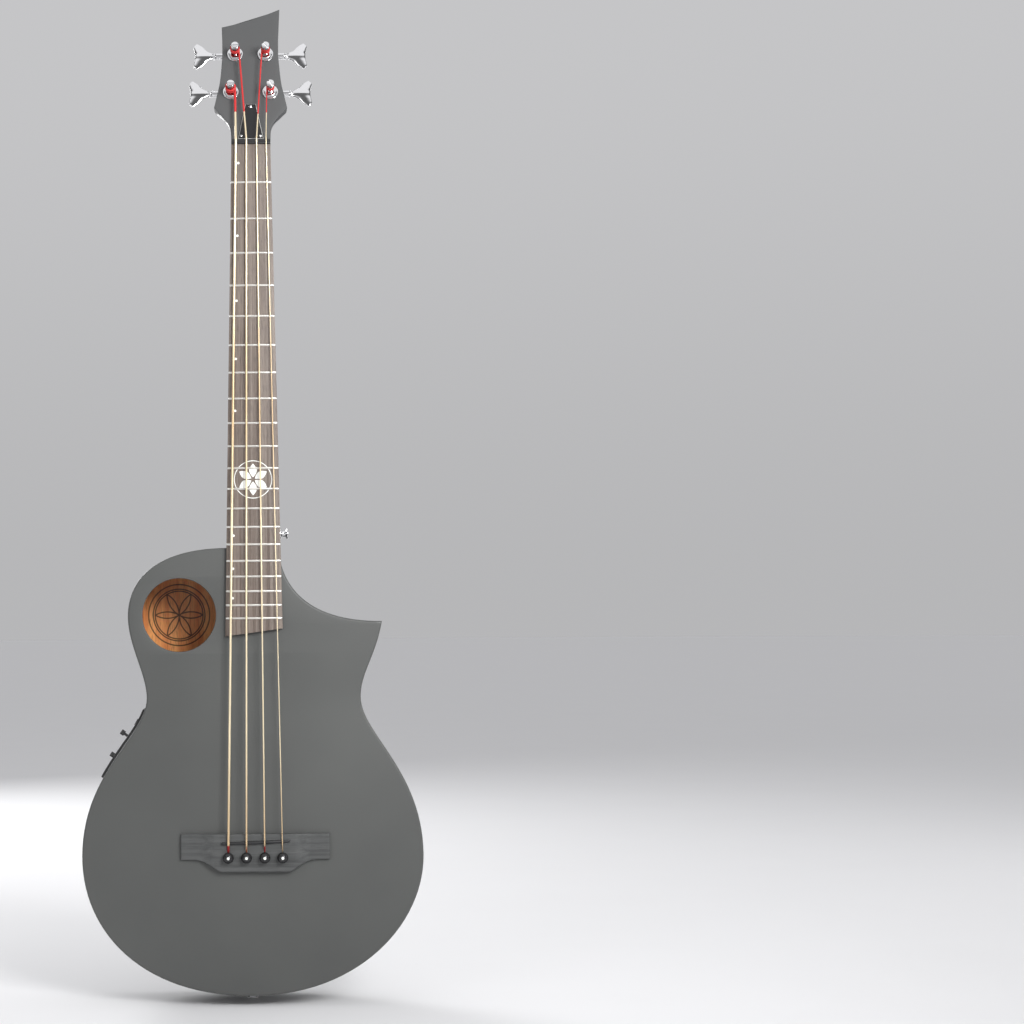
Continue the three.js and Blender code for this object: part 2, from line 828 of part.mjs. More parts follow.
backBraceShares.forEach((share, i) => {
  const z = bodyTop - share * bodyLength;
  const slices = Array.from({ length: backBraceSteps + 1 }, (_, n) => {
    const x = (lowerBout * (2 * n - backBraceSteps)) / (2 * backBraceSteps);
    return [
      [0, -1],
      [0, 1],
      [1, 1 / 2],
      [1, -1 / 2],
    ].map(([height, side]) => {
      const rise = backInside(x, z) - seat - height * braceHeight;
      return new THREE.Vector3(x, rise, z + (side * braceWidth) / 2);
    });
  });
  add(guitar, `back_brace_${i + 1}`, solid(loft(slices)).intersect(braceRoom), spruce);
});

// Bridge plate under the soundboard, where the string ends pull up
const plateHalfLength = 62;
const plateAbovePins = 25;
const plateBelowPins = 12;
const bridgePlate = box(
  -plateHalfLength,
  plateHalfLength,
  topInside + seat,
  plateBack,
  pinZ - plateBelowPins,
  pinZ + plateAbovePins,
);
const plateRoom = [crossBass, crossTreble].map((shares) =>
  lap(shares, braceFront - overrun, plateBack + overrun),
);
add(
  guitar,
  "bridge_plate",
  cut(solid(bridgePlate), ...plateRoom, ...strings.map(pinHole)),
  mahogany,
);

// Bridge: wings on either side of a deeper belly, thinned towards their ends
const bridgeHalf = 80.5;
const bridgeAboveSaddle = 8.8;
const wingBelowPins = 2.8;
const bellyBelowPins = 15.6;
const bridgeHigh = saddleAt - bridgeAboveSaddle;
const wingLow = pinAt + wingBelowPins;
const bellyLow = pinAt + bellyBelowPins;
const bellyHalf = 36;
const ogeeRun = 31;
const wingThickness = 4.2;
const wingStart = 42;
const wingSteps = 4;
const saddleLength = 74;
const saddleDepth = 5; // how far the saddle reaches into the bridge
const pickupThickness = 1.2;

function ogee(side) {
  const path = new THREE.Path();
  path.moveTo(side * (bellyHalf + ogeeRun), -wingLow);
  bend(path, side * bellyHalf, -bellyLow, [0.45, 0], [0.2, 0.08]);
  return path.getPoints(wingSteps);
}

const bridgeOutline = [
  new THREE.Vector2(-bridgeHalf, -bridgeHigh),
  new THREE.Vector2(-bridgeHalf, -wingLow),
  ...ogee(-1),
  ...ogee(1).reverse(),
  new THREE.Vector2(bridgeHalf, -wingLow),
  new THREE.Vector2(bridgeHalf, -bridgeHigh),
];

// Half of the bridge's front seen from its end of the belly: level, then scooped down to the wing
const scoop = Array.from({ length: wingSteps + 1 }, (_, i) => {
  const share = i / wingSteps;
  const fall = (1 - Math.cos(Math.PI * share)) / 2;
  const drop = (bridgeThickness - wingThickness) * fall;
  const reach = (bridgeHalf - wingStart) / 2;
  return new THREE.Vector2(wingStart + reach * share, bridgeTop + drop);
});
const bridgeSection = [
  new THREE.Vector2(bridgeHalf + overrun, boardThickness),
  new THREE.Vector2(bridgeHalf + overrun, scoop[wingSteps].y),
  ...scoop.slice().reverse(),
];
const bridgeProfile = [
  ...bridgeSection,
  ...bridgeSection
    .slice()
    .reverse()
    .map((p) => new THREE.Vector2(-p.x, p.y)),
];

const saddleFloor = bridgeTop + saddleDepth;
const saddlePlace = new THREE.Matrix4().makeRotationY(-Math.atan(saddleSlant));
saddlePlace.setPosition(0, 0, -saddleAt);

function saddleSlot() {
  const half = saddleLength / 2 + seat;
  const thick = saddleThickness / 2 + seat;
  const floor = saddleFloor + seat + pickupThickness + seat;
  return solid(
    box(-half, half, bridgeTop - overrun, floor, -thick, thick).applyMatrix4(saddlePlace),
  );
}

// The groove that takes a string from its hole up to the saddle
function ramp(string) {
  const radius = string.gauge / 2 + seat;
  return openGroove(rampFoot(string), saddlePoint(string), radius, bridgeTop - overrun);
}

function pinSeat(string) {
  const sphere = new THREE.SphereGeometry(pinHeadRadius + running, pinSides, headSteps);
  return solid(sphere.translate(string.bridge, pinHeadY, pinZ));
}

const bridgeBlock = solid(slab(bridgeOutline, bridgeTop - overrun, boardThickness));
const bridgeBody = bridgeBlock.intersect(
  solid(rail(bridgeProfile, -bellyLow - overrun, -bridgeHigh + overrun)),
);
add(
  guitar,
  "bridge",
  cut(
    bridgeBody,
    saddleSlot(),
    ...strings.map(pinHole),
    ...strings.map(pinSeat),
    ...strings.map(ramp),
  ),
  ebony,
);

// Saddle, with the strip of the pickup under it
const saddleSteps = 6;
const saddleSection = [
  new THREE.Vector2(-saddleLength / 2, saddleFloor),
  ...Array.from({ length: saddleSteps + 1 }, (_, i) => {
    const x = saddleLength * (i / saddleSteps - 1 / 2);
    return new THREE.Vector2(x, crown(x) - fretHeight - saddleLift + seat);
  }),
  new THREE.Vector2(saddleLength / 2, saddleFloor),
];
const saddle = rail(saddleSection, -saddleThickness / 2, saddleThickness / 2);
add(guitar, "saddle", saddle.applyMatrix4(saddlePlace), ebony);

const pickup = box(
  -saddleLength / 2,
  saddleLength / 2,
  saddleFloor + seat,
  saddleFloor + seat + pickupThickness,
  -saddleThickness / 2,
  saddleThickness / 2,
);
add(guitar, "pickup_strip", pickup.applyMatrix4(saddlePlace), steel);

// Bridge pins: a ball head and a grooved shank, each pulled straight out
const pinLength = 24;
const pinTipRadius = 2.4;

strings.forEach((string) => {
  const neckAngle = Math.acos(pinShankRadius / pinHeadRadius);
  const profile = Array.from({ length: headSteps + 1 }, (_, i) => {
    const angle = (i / headSteps) * (Math.PI / 2 + neckAngle) - Math.PI / 2;
    const radius = i ? pinHeadRadius * Math.cos(angle) : 0;
    return [radius, pinHeadY + pinHeadRadius * Math.sin(angle)];
  });
  const tip = pinHeadY + pinLength;
  profile.push([pinTipRadius, tip - seat], [pinTipRadius - seat, tip], [0, tip]);
  const pin = solid(turned(profile, pinSides)).translate([string.bridge, 0, pinZ]);
  const foot = rampFoot(string);
  const grooveRadius = string.gauge / 2 + running;
  const groove = solid(round(grooveRadius, foot.y - string.gauge, tip + overrun, pinSides));
  add(
    guitar,
    `bridge_pin_${string.name}`,
    cut(pin, groove.translate([string.bridge, 0, foot.z])),
    gloss,
  );
});

// Neck: one skin of slices from the top of the headstock down to the heel
const nutThickness = 5.5;
const neckDepthAtNut = 14;
const neckDepthAtHeel = 18.5;
const neckFlat = 4; // half of the flat that runs down the back of the neck
const heelRun = 60; // from the start of the heel's curve to the body
const heelStart = bodyJoin - heelRun;
const heelCapLength = 21;
const heelCapHalf = 28.5;
const heelCapThickness = 2.8;
const headEdge = 1.6; // rounding along the back edges of the headstock
const headTopShift = 0.65;
const headTopHalf = 32.65;
const headTopShort = 22.8; // how much lower the bass side of the headstock ends
const headTopHollow = 2.2;
const sideSteps = 4;
const rowShares = [-0.4, 0.4];
const shaftShares = [0.02, 0.3, 0.6, 1];
const heelSteps = 5;

// Half widths of the headstock's face and of the flat on its back, by distance from the nut
const headSections = [
  { at: 127, face: 31.5, flat: 29.9 },
  { at: 110, face: 31.4, flat: 29.8 },
  { at: 92, face: 32.5, flat: 30.9 },
  { at: 73, face: 34.3, flat: 32.7 },
  { at: 57, face: 37.4, flat: 35.8 },
  { at: 41.7, face: 40.6, flat: 39 },
  { at: 32, face: 33.3, flat: 29 },
  { at: 26.5, face: 29.1, flat: 22 },
  { at: 22, face: 25.7, flat: 20.3 },
  { at: 16, face: 23.3, flat: 18 },
  { at: 10, face: 22.1, flat: 14.2 },
  { at: 5.6, face: 21.9, flat: 11 },
  { at: 0, face: 21.7, flat: 6.5 },
];

const headPlace = new THREE.Matrix4().makeRotationX(-headTilt);
headPlace.setPosition(0, glueFace, nutThickness);
const neckPlace = new THREE.Matrix4().makeTranslation(0, glueFace, 0);

function boardHalf(z) {
  return (nutWidth + ((boardEndWidth - nutWidth) * -z) / boardEndMiddle) / 2;
}

// Face, rounded sides and flat back at one height; the height may differ along x
function neckSlice(place, height, face, flat, depth, shift = 0) {
  const side = Array.from({ length: sideSteps + 1 }, (_, i) => {
    const angle = (Math.PI * i) / (2 * sideSteps);
    return [flat + (face - flat) * Math.cos(angle), depth * Math.sin(angle)];
  });
  const section = [
    ...rowShares.map((share) => [share * face, 0]),
    ...side,
    ...rowShares.map((share) => [-share * flat, depth]),
    ...side.map(([x, y]) => [-x, y]).reverse(),
  ];
  return section.map(([x, y]) => {
    const z = typeof height === "function" ? height(x) : height;
    return new THREE.Vector3(x + shift, y, z).applyMatrix4(place);
  });
}

// Fingerboard, crowned, with its end cut a little askew
const overhangBass = 19.61496; // from the last fret to the end of the board
const overhangTreble = 11.21496;
const boardEndBass = fretAt(fretCount) + overhangBass;
const boardEndTreble = fretAt(fretCount) + overhangTreble;
const boardEndMiddle = (boardEndBass + boardEndTreble) / 2;
const crownSteps = 4;
const fretWidth = 2.4;
const fretCrown = 1.1;
const fretFoot = 0.4;
const fretShoulder = 0.15;
const fretSteps = 4;

function headTop(x) {
  const share = x / headTopHalf;
  const slant = (headTopShort * (share - 1)) / 2;
  return headLength + slant - headTopHollow * (1 - share * share);
}

function shaftSlice(down) {
  const share = down / heelStart;
  const depth = neckDepthAtNut + (neckDepthAtHeel - neckDepthAtNut) * share;
  return neckSlice(neckPlace, -down, boardHalf(-down), neckFlat, depth);
}

const heelDepth = bodyDepthAtNeck - heelCapThickness - seat;
const heelCapTop = bodyJoin - heelCapLength;
const heelCurve = Array.from({ length: heelSteps }, (_, i) => {
  const angle = (Math.PI * (i + 1)) / (2 * heelSteps);
  const down = heelStart + (heelCapTop - heelStart) * Math.sin(angle);
  const depth = neckDepthAtHeel + (heelDepth - neckDepthAtHeel) * (1 - Math.cos(angle));
  return neckSlice(neckPlace, -down, boardHalf(-down), neckFlat, depth);
});
const heelCapCurve = Array.from({ length: heelSteps }, (_, i) => {
  const angle = (Math.PI * (i + 1)) / (2 * heelSteps);
  const down = bodyJoin - seat - (heelCapLength - seat) * Math.cos(angle);
  return { down, half: heelCapHalf * Math.sin(angle) };
});

const neckSkin = loft([
  neckSlice(headPlace, headTop, headTopHalf, headTopHalf - headEdge, headThickness, headTopShift),
  ...headSections.map(({ at, face, flat }) =>
    neckSlice(headPlace, at, face, flat, headThickness),
  ),
  ...shaftShares.map((share) => shaftSlice(share * heelStart)),
  ...heelCurve,
  ...heelCapCurve.map(({ down, half }) =>
    neckSlice(neckPlace, -down, boardHalf(-down), Math.max(half, neckFlat), heelDepth),
  ),
]);

// Truss rod in a channel under the fingerboard, adjusted from a pocket in the headstock
const trussDepth = 7; // of its axis under the glue face
const trussHalf = 3;
const trussTop = 1;
const trussShort = 17; // how much above the body the rod ends
const trussEnd = bodyJoin - trussShort;
const trussHead = 3.5;
const trussThread = 2;
const trussThreadEnd = 12;
const adjusterStart = 6.4;
const adjusterEnd = 14;
const adjusterRadius = 4;
const pocketHalf = 5.4;
const pocketStart = 0.5;
const pocketEnd = 26;
const pocketDepth = 11.6;
const roundSides = 12;

const trussY = glueFace + trussDepth;
const trussChannel = solid(
  box(
    -trussHalf - seat,
    trussHalf + seat,
    glueFace - overrun,
    trussY + trussHalf + seat,
    -trussEnd - seat,
    nutThickness + overrun / 2,
  ),
);
const trussPocket = solid(
  box(-pocketHalf, pocketHalf, -overrun, pocketDepth, pocketStart, pocketEnd).applyMatrix4(
    headPlace,
  ),
);

// Tuners stand in two rows; the lower row is wider
const lowerRowHalf = 22;
const lowerRowAt = 59.9; // from the nut
const upperRowHalf = 17;
const upperRowAt = 108.1;
const tunerRows = [
  { x: lowerRowHalf, at: lowerRowAt },
  { x: upperRowHalf, at: upperRowAt },
];
const postRadius = 3;
const sleeveRadius = 4.8;
const sleeveLength = 11;

function tunerPlace(string) {
  const row = tunerRows[string.row];
  return new THREE.Matrix4().makeTranslation(string.side * row.x, 0, row.at);
}

function tunerHole(string) {
  const radius = sleeveRadius + seat;
  const hole = round(radius, -overrun, headThickness + overrun, roundSides);
  return solid(hole.applyMatrix4(headPlace.clone().multiply(tunerPlace(string))));
}

const heelButtonX = 28.9;
const heelPlace = new THREE.Matrix4().makeRotationZ(-Math.PI / 2);
heelPlace.setPosition(heelButtonX, glueFace + heelButtonDepth, bodyTop + heelButtonAbove);
add(guitar, "strap_button", strapButton(heelPlace), chrome);

add(
  guitar,
  "neck",
  cut(
    join(solid(neckSkin), tenonBox(0)),
    trussChannel,
    trussPocket,
    screwHole(heelPlace),
    ...strings.map(tunerHole),
  ),
  satinBlack,
);

const capOutline = [
  ...heelCapCurve.map(({ down, half }) => new THREE.Vector2(-half, -down)),
  ...heelCapCurve.map(({ down, half }) => new THREE.Vector2(half, -down)).reverse(),
  new THREE.Vector2(0, -heelCapTop),
];
const capFront = glueFace + heelDepth + seat;
add(guitar, "heel_cap", slab(capOutline, capFront, capFront + heelCapThickness), ebony);

const rod = box(
  -trussHalf,
  trussHalf,
  glueFace + trussTop,
  trussY + trussHalf,
  -trussEnd,
  trussHead,
);
const rodThread = turned(
  [
    [0, 0],
    [trussThread, 0],
    [trussThread, trussThreadEnd],
    [0, trussThreadEnd],
  ],
  roundSides,
);
add(
  guitar,
  "truss_rod",
  join(solid(rod), solid(rodThread.rotateX(Math.PI / 2).translate(0, trussY, 0))),
  steel,
);
const adjuster = turned(
  [
    [trussThread + running, adjusterStart],
    [adjusterRadius, adjusterStart],
    [adjusterRadius, adjusterEnd],
    [trussThread + running, adjusterEnd],
    [trussThread + running, adjusterStart],
  ],
  6,
);
add(guitar, "truss_rod_nut", adjuster.rotateX(Math.PI / 2).translate(0, trussY, 0), steel);

// A slice across the board: crowned front, flat foot
function crownedSlice(half, lift, foot, height) {
  const front = Array.from({ length: crownSteps + 1 }, (_, i) => {
    const x = half * ((2 * i) / crownSteps - 1);
    return [x, crown(x) - lift];
  });
  return [...front, [half, foot], [-half, foot]].map(([x, y]) => {
    const z = typeof height === "function" ? height(x) : height;
    return new THREE.Vector3(x, y, z);
  });
}

const boardEnd = (x) => {
  const slant = (boardEndTreble - boardEndBass) / boardEndWidth;
  return -boardEndMiddle - slant * x;
};
const board = loft([
  crownedSlice(boardHalf(0), 0, boardThickness, -seat),
  crownedSlice(boardHalf(-boardEndMiddle / 2), 0, boardThickness, -boardEndMiddle / 2),
  crownedSlice(boardHalf(-boardEndMiddle), 0, boardThickness, boardEnd),
]);

function fret(number) {
  const z = -fretAt(number);
  const half = boardHalf(z);
  const slices = Array.from({ length: fretSteps + 1 }, (_, i) => {
    const x = half * ((2 * i) / fretSteps - 1);
    return [
      [-fretWidth / 2, fretFoot],
      [-fretWidth / 2, -fretShoulder],
      [-fretCrown / 2, -fretHeight],
      [fretCrown / 2, -fretHeight],
      [fretWidth / 2, -fretShoulder],
      [fretWidth / 2, fretFoot],
    ].map(([along, rise]) => new THREE.Vector3(x, crown(x) + rise, z + along));
  });
  return solid(loft(slices));
}

const frets = Array.from({ length: fretCount }, (_, i) => fret(i + 1));
add(guitar, "fingerboard", join(solid(board), ...frets), rosewood);

// Strings: from the ball end up its pin, over saddle and nut, and round the post
const ballRadius = 2.2;
const ballShare = 0.55;
const stringSides = 6;
const turnSteps = 12;
const turnGap = 0.5; // between one turn and the next
const capHeight = 20.5; // of the post over the headstock's face
const capLength = 4.5;
const capRadius = 4.3;

const headInverse = headPlace.clone().invert();

// The straight run from saddle to nut, carried on to a height
function stringAt(string, z) {
  const [from, to] = [saddlePoint(string), nutPoint(string)];
  return from.clone().lerp(to, (z - from.z) / (to.z - from.z));
}

function winding(string) {
  const radius = string.gauge / 2;
  const row = tunerRows[string.row];
  const centre = new THREE.Vector2(string.side * row.x, row.at);
  const round = postRadius + running + radius;
  const start = stringAt(string, nutThickness + seat).applyMatrix4(headInverse);
  const from = new THREE.Vector2(start.x, start.z);
  const toCentre = centre.clone().sub(from);
  const turnAside = Math.asin(round / toCentre.length());
  const first = toCentre.angle() + string.side * (turnAside + Math.PI / 2);
  const rise = string.gauge + turnGap;
  const top = capHeight - capLength - running - radius;
  const count = Math.round(string.turns * turnSteps);
  return Array.from({ length: count + 1 }, (_, i) => {
    const angle = first - (string.side * 2 * Math.PI * i) / turnSteps;
    const height = top - rise * (string.turns - i / turnSteps);
    const x = centre.x + round * Math.cos(angle);
    const z = centre.y + round * Math.sin(angle);
    return new THREE.Vector3(x, -height, z).applyMatrix4(headPlace);
  });
}

function stringPath(string) {
  const radius = string.gauge / 2;
  const foot = rampFoot(string);
  const knee = new THREE.Vector3(foot.x, plateBack + seat + radius / 2, foot.z);
  const down = new THREE.Vector3(0, 1, 1).normalize();
  const ball = knee.clone().addScaledVector(down, Math.SQRT2 * ballRadius);
  const ballAt = (share) => ball.clone().addScaledVector(down, share * ballRadius);
  const ends = [ballAt(1), ballAt(ballShare), ballAt(-ballShare), ballAt(-1)];
  const flank = ballRadius * Math.sqrt(1 - ballShare * ballShare);
  const points = [
    ...ends,
    knee,
    foot,
    saddlePoint(string),
    stringAt(string, nutThickness + seat),
    ...winding(string),
  ];
  const thick = [ballRadius * (1 - ballShare), flank, flank, radius];
  return { points, radii: points.map((_, i) => thick[i] || radius) };
}

// Least distance between two parts of a string that lie over a turn apart, less its gauge
function selfGap(string, points) {
  let least = Infinity;
  const apart = Math.round(turnSteps * 0.6);
  for (let i = 0; i < points.length; i += 1) {
    for (let j = i + apart; j < points.length; j += 1) {
      least = Math.min(least, points[i].distanceTo(points[j]) - string.gauge);
    }
  }
  return least;
}

strings.forEach((string) => {
  const { points, radii } = stringPath(string);
  add(guitar, `string_${string.name}`, tube(points, radii, stringSides), bronze);
  console.log(`string_${string.name} least self-gap ${selfGap(string, points).toFixed(3)}`);
});

// Nut, with an open slot for each string
const nutRise = 2.3; // of its front edge over the board
const nutFall = 1.2; // how much lower its back edge is
const nutHalf = nutWidth / 2 - seat / 2;
const nutBlock = loft([
  crownedSlice(nutHalf, nutRise, boardThickness, 0),
  crownedSlice(nutHalf, nutRise - nutFall, boardThickness, nutThickness),
]);
const nutSlots = strings.map((string) => {
  const from = stringAt(string, -overrun);
  const to = stringAt(string, nutThickness + overrun);
  return openGroove(from, to, string.gauge / 2 + seat, -overrun);
});
add(guitar, "nut", cut(solid(nutBlock), ...nutSlots), ebony);

// The headstock's own frame holds the truss rod cover and the tuners
const head = new THREE.Group();
head.applyMatrix4(headPlace);
guitar.add(head);

const coverStart = 0.6;
const coverEnd = 44.6;
const coverHalfLow = 14.4;
const coverHalfHigh = 6;
const coverThickness = 2.2;
const coverBevel = 1;

const coverOutline = [
  new THREE.Vector2(-coverHalfLow, coverStart),
  new THREE.Vector2(coverHalfLow, coverStart),
  new THREE.Vector2(coverHalfHigh, coverEnd),
  new THREE.Vector2(-coverHalfHigh, coverEnd),
];
const coverSlices = [
  [0, seat],
  [0, seat + coverThickness - coverBevel],
  [coverBevel, seat + coverThickness],
].map(([drawn, height]) =>
  inset(coverOutline, drawn).map((p) => new THREE.Vector3(p.x, -height, p.y)),
);
add(head, "truss_rod_cover", loft(coverSlices), gloss);

// Tuners: a worm on the key drives a wheel on the post
const wheelTeeth = 20;
const wheelPitchRadius = 6.7;
const wheelTipRadius = 7.15;
const wheelRootRadius = 5.95;
const wheelWidth = 4;
const wheelToothShare = 0.4; // of the pitch, at the pitch line
const discRadius = 6.6;
const discThickness = 1.4;
const wormOffset = 10;
const wormTipRadius = 3.75;
const wormRootRadius = 2.55;
const wormPitchRadius = wormOffset - wheelPitchRadius;
const wormHalf = 3.6;
const wormSides = 10;
const wormStepsPerPitch = 4;
const wormCrestShare = 0.1; // half of the crest, of the pitch
const wormFootShare = 0.222;
const axleBehind = 5.6; // of the worm's axis behind the headstock
const floorBehind = 3;
const cupHeight = 8.3;
const cupSides = 20;
const cupRadius = 8.9;
const cupInner = 7.6;
const wormTubeRadius = 5.2;
const keySleeveRadius = 3.8;
const keySleeveEnd = 22;
const shaftRadius = 2.2;
const collarRadius = 4;
const collarLength = 1.7;
const bladeStart = 24;
const tabTip = 14.2;
const tabHalf = 5.2;
const tabEnd = 2.6;
const tabThickness = 1.7;
const tabScrewAt = 11.6;
const tabScrewRadius = 1.4;
const flangeRadius = 8.85;
const flangeThickness = 1.6;
const hexRadius = 7.5;
const hexHeight = 3;
const slotWidth = 1.7;
const slotDepth = 3;
const capEdge = 0.7;

const axleY = headThickness + axleBehind;
const wormPitch = (2 * Math.PI * wheelPitchRadius) / wheelTeeth;
const wheelTwist = (wormPitch * wheelWidth) / (4 * Math.PI * wormPitchRadius * wheelPitchRadius);

// The worm's radius at a phase of its thread, in turns from the middle of the crest
function threadRadius(phase) {
  const off = Math.abs(phase - Math.round(phase));
  const share = (off - wormCrestShare) / (wormFootShare - wormCrestShare);
  const fall = Math.min(Math.max(share, 0), 1);
  return wormTipRadius + (wormRootRadius - wormTipRadius) * fall;
}

function shaftRing(x, radius) {
  return Array.from({ length: wormSides }, (_, i) => {
    const turn = i / wormSides;
    const angle = 2 * Math.PI * turn;
    const away = typeof radius === "function" ? radius(turn) : radius;
    return new THREE.Vector3(x, away * Math.cos(angle), away * Math.sin(angle));
  });
}

// Key: journal, worm, shaft and collar in one skin along x
const wormRings = Math.round((2 * wormHalf * wormStepsPerPitch) / wormPitch);
const keySkin = loft([
  shaftRing(-cupRadius + seat, shaftRadius),
  shaftRing(-wormHalf - seat, shaftRadius),
  shaftRing(-wormHalf - seat, wormRootRadius),
  ...Array.from({ length: wormRings + 1 }, (_, i) => {
    const x = wormHalf * ((2 * i) / wormRings - 1);
    // three quarters of a turn on is the side that faces the wheel
    return shaftRing(x, (turn) => threadRadius(x / wormPitch - turn + 0.75));
  }),
  shaftRing(wormHalf + seat, wormRootRadius),
  shaftRing(wormHalf + seat, shaftRadius),
  shaftRing(keySleeveEnd + seat, shaftRadius),
  shaftRing(keySleeveEnd + seat, collarRadius),
  shaftRing(keySleeveEnd + seat + collarLength, collarRadius),
  shaftRing(keySleeveEnd + seat + collarLength, shaftRadius),
  shaftRing(bladeStart + collarRadius, shaftRadius),
]);

// Blade of the key: inner and outer edge by height, thickest along its middle
const bladeSections = [
  { height: 0, inner: 23.6, outer: 45.5, thick: 2.2 },
  { height: 2.4, inner: 23.8, outer: 45.6, thick: 2 },
  { height: 6.6, inner: 31.4, outer: 46.3, thick: 1.7 },
  { height: 12.4, inner: 36.9, outer: 47.2, thick: 1.2 },
  { height: 16, inner: 42.3, outer: 44.4, thick: 0.9 },
];
const bladeEdge = 0.9;
const bladeSlices = [...bladeSections.slice(1).reverse(), ...bladeSections].map((section, i) => {
  const side = i < bladeSections.length - 1 ? -1 : 1;
  const { inner, outer, thick } = section;
  return [
    [inner, 0],
    [inner + bladeEdge, -thick],
    [outer - bladeEdge, -thick],
    [outer, 0],
    [outer - bladeEdge, thick],
    [inner + bladeEdge, thick],
  ].map(([x, y]) => new THREE.Vector3(x, y, side * section.height));
});
const key = join(solid(keySkin), solid(loft(bladeSlices))).translate([0, axleY, wormOffset]);

// Wheel: straight-sided teeth, turned a little across its width to lie along the thread
const toothShares = [
  [-0.5 * wheelToothShare - 0.06, wheelRootRadius],
  [-0.5 * wheelToothShare + 0.08, wheelTipRadius],
  [0.5 * wheelToothShare - 0.08, wheelTipRadius],
  [0.5 * wheelToothShare + 0.06, wheelRootRadius],
];
const wheelSlices = [-1, 1].map((side) =>
  Array.from({ length: wheelTeeth }, (_, tooth) =>
    toothShares.map(([share, radius]) => {
      const turn = (tooth + 1 / 2 + share) / wheelTeeth;
      const angle = 2 * Math.PI * turn + side * wheelTwist;
      const y = axleY + (side * wheelWidth) / 2;
      return new THREE.Vector3(radius * Math.sin(angle), y, radius * Math.cos(angle));
    }),
  ).flat(),
);
const wheelFront = axleY - wheelWidth / 2;
const wheelBack = axleY + wheelWidth / 2;
const postBody = turned(
  [
    [0, -capHeight],
    [capRadius - capEdge, -capHeight],
    [capRadius, -capHeight + capEdge],
    [capRadius, -capHeight + capLength],
    [postRadius, -capHeight + capLength],
    [postRadius, wheelFront + seat],
    [discRadius - capEdge, wheelBack - seat],
    [discRadius, wheelBack + seat],
    [discRadius, wheelBack + discThickness - seat],
    [discRadius - capEdge, wheelBack + discThickness],
    [0, wheelBack + discThickness],
  ],
  roundSides,
);
const slotAngles = { e: 0, a: 0.1, d: 0.75, g: 0.9 };

function post(string) {
  const slot = solid(
    box(
      -capRadius - seat,
      capRadius + seat,
      -capHeight - overrun,
      -capHeight + slotDepth,
      -slotWidth / 2,
      slotWidth / 2,
    ).rotateY(slotAngles[string.name]),
  );
  return cut(join(solid(postBody), solid(loft(wheelSlices))), slot);
}

// Housing: a cup for the wheel, a tube for the worm, a sleeve for the shaft and a screw tab
function along(radius, low, high) {
  const bar = round(radius, low, high, roundSides).rotateZ(-Math.PI / 2);
  return solid(bar.translate(0, axleY, wormOffset));
}

const housingFront = headThickness + seat;
const cupOutline = [
  ...circle(0, 0, cupRadius, cupSides).slice(cupSides / 2),
  new THREE.Vector2(cupRadius, wormOffset),
  new THREE.Vector2(-cupRadius, wormOffset),
];
cupOutline.splice(cupSides / 2, 0, new THREE.Vector2(cupRadius, 0));
const tabOutline = [
  new THREE.Vector2(-tabHalf, -wormOffset / 2),
  new THREE.Vector2(-tabEnd, -tabTip + tabEnd / 2),
  new THREE.Vector2(-tabEnd / 2, -tabTip),
  new THREE.Vector2(tabEnd / 2, -tabTip),
  new THREE.Vector2(tabEnd, -tabTip + tabEnd / 2),
  new THREE.Vector2(tabHalf, -wormOffset / 2),
];
const housing = cut(
  join(
    solid(slab(cupOutline, housingFront, headThickness + cupHeight)),
    along(wormTubeRadius, -cupRadius, cupRadius),
    along(keySleeveRadius, 0, keySleeveEnd),
    solid(slab(tabOutline, housingFront, housingFront + tabThickness)),
  ),
  solid(round(cupInner, headThickness + floorBehind, axleY + 2 * overrun, cupSides)),
  along(wormTipRadius + running, -cupRadius - overrun, cupInner),
  along(shaftRadius + running, 0, keySleeveEnd + overrun),
  solid(round(postRadius + running, 0, axleY, roundSides)),
  solid(round(tabScrewRadius, 0, axleY, roundSides)).translate([0, 0, -tabScrewAt]),
);

const bushing = cut(
  join(
    solid(round(sleeveRadius, -seat - flangeThickness, sleeveLength, roundSides)),
    solid(round(flangeRadius, -seat - flangeThickness, -seat, cupSides)),
    solid(
      round(hexRadius, -seat - flangeThickness - hexHeight, -seat - flangeThickness / 2, 6),
    ),
  ),
  solid(round(postRadius + running, -capHeight, axleY, roundSides)),
);

strings.forEach((string) => {
  const tuner = new THREE.Group();
  tuner.applyMatrix4(tunerPlace(string));
  tuner.scale.x = string.side; // the bass side's tuners are mirrored
  head.add(tuner);
  const name = `tuner_${string.name}`;
  add(tuner, `${name}_housing`, housing, chrome);
  add(tuner, `${name}_key`, key, chrome);
  add(tuner, `${name}_post`, post(string), chrome);
  add(tuner, `${name}_bushing`, bushing, chrome);
});

export default guitar;
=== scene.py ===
"""An acoustic bass guitar with one cutaway, dressed on the frame of its CAD model.

Shapes are worked out in millimetres as numpy arrays and become metres as they enter a mesh. +Z
runs up the neck, the front faces -Y and +X is the treble side, as in the CAD model.
"""

import bmesh
import bpy
import numpy as np
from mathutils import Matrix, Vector
from mathutils.geometry import tessellate_polygon


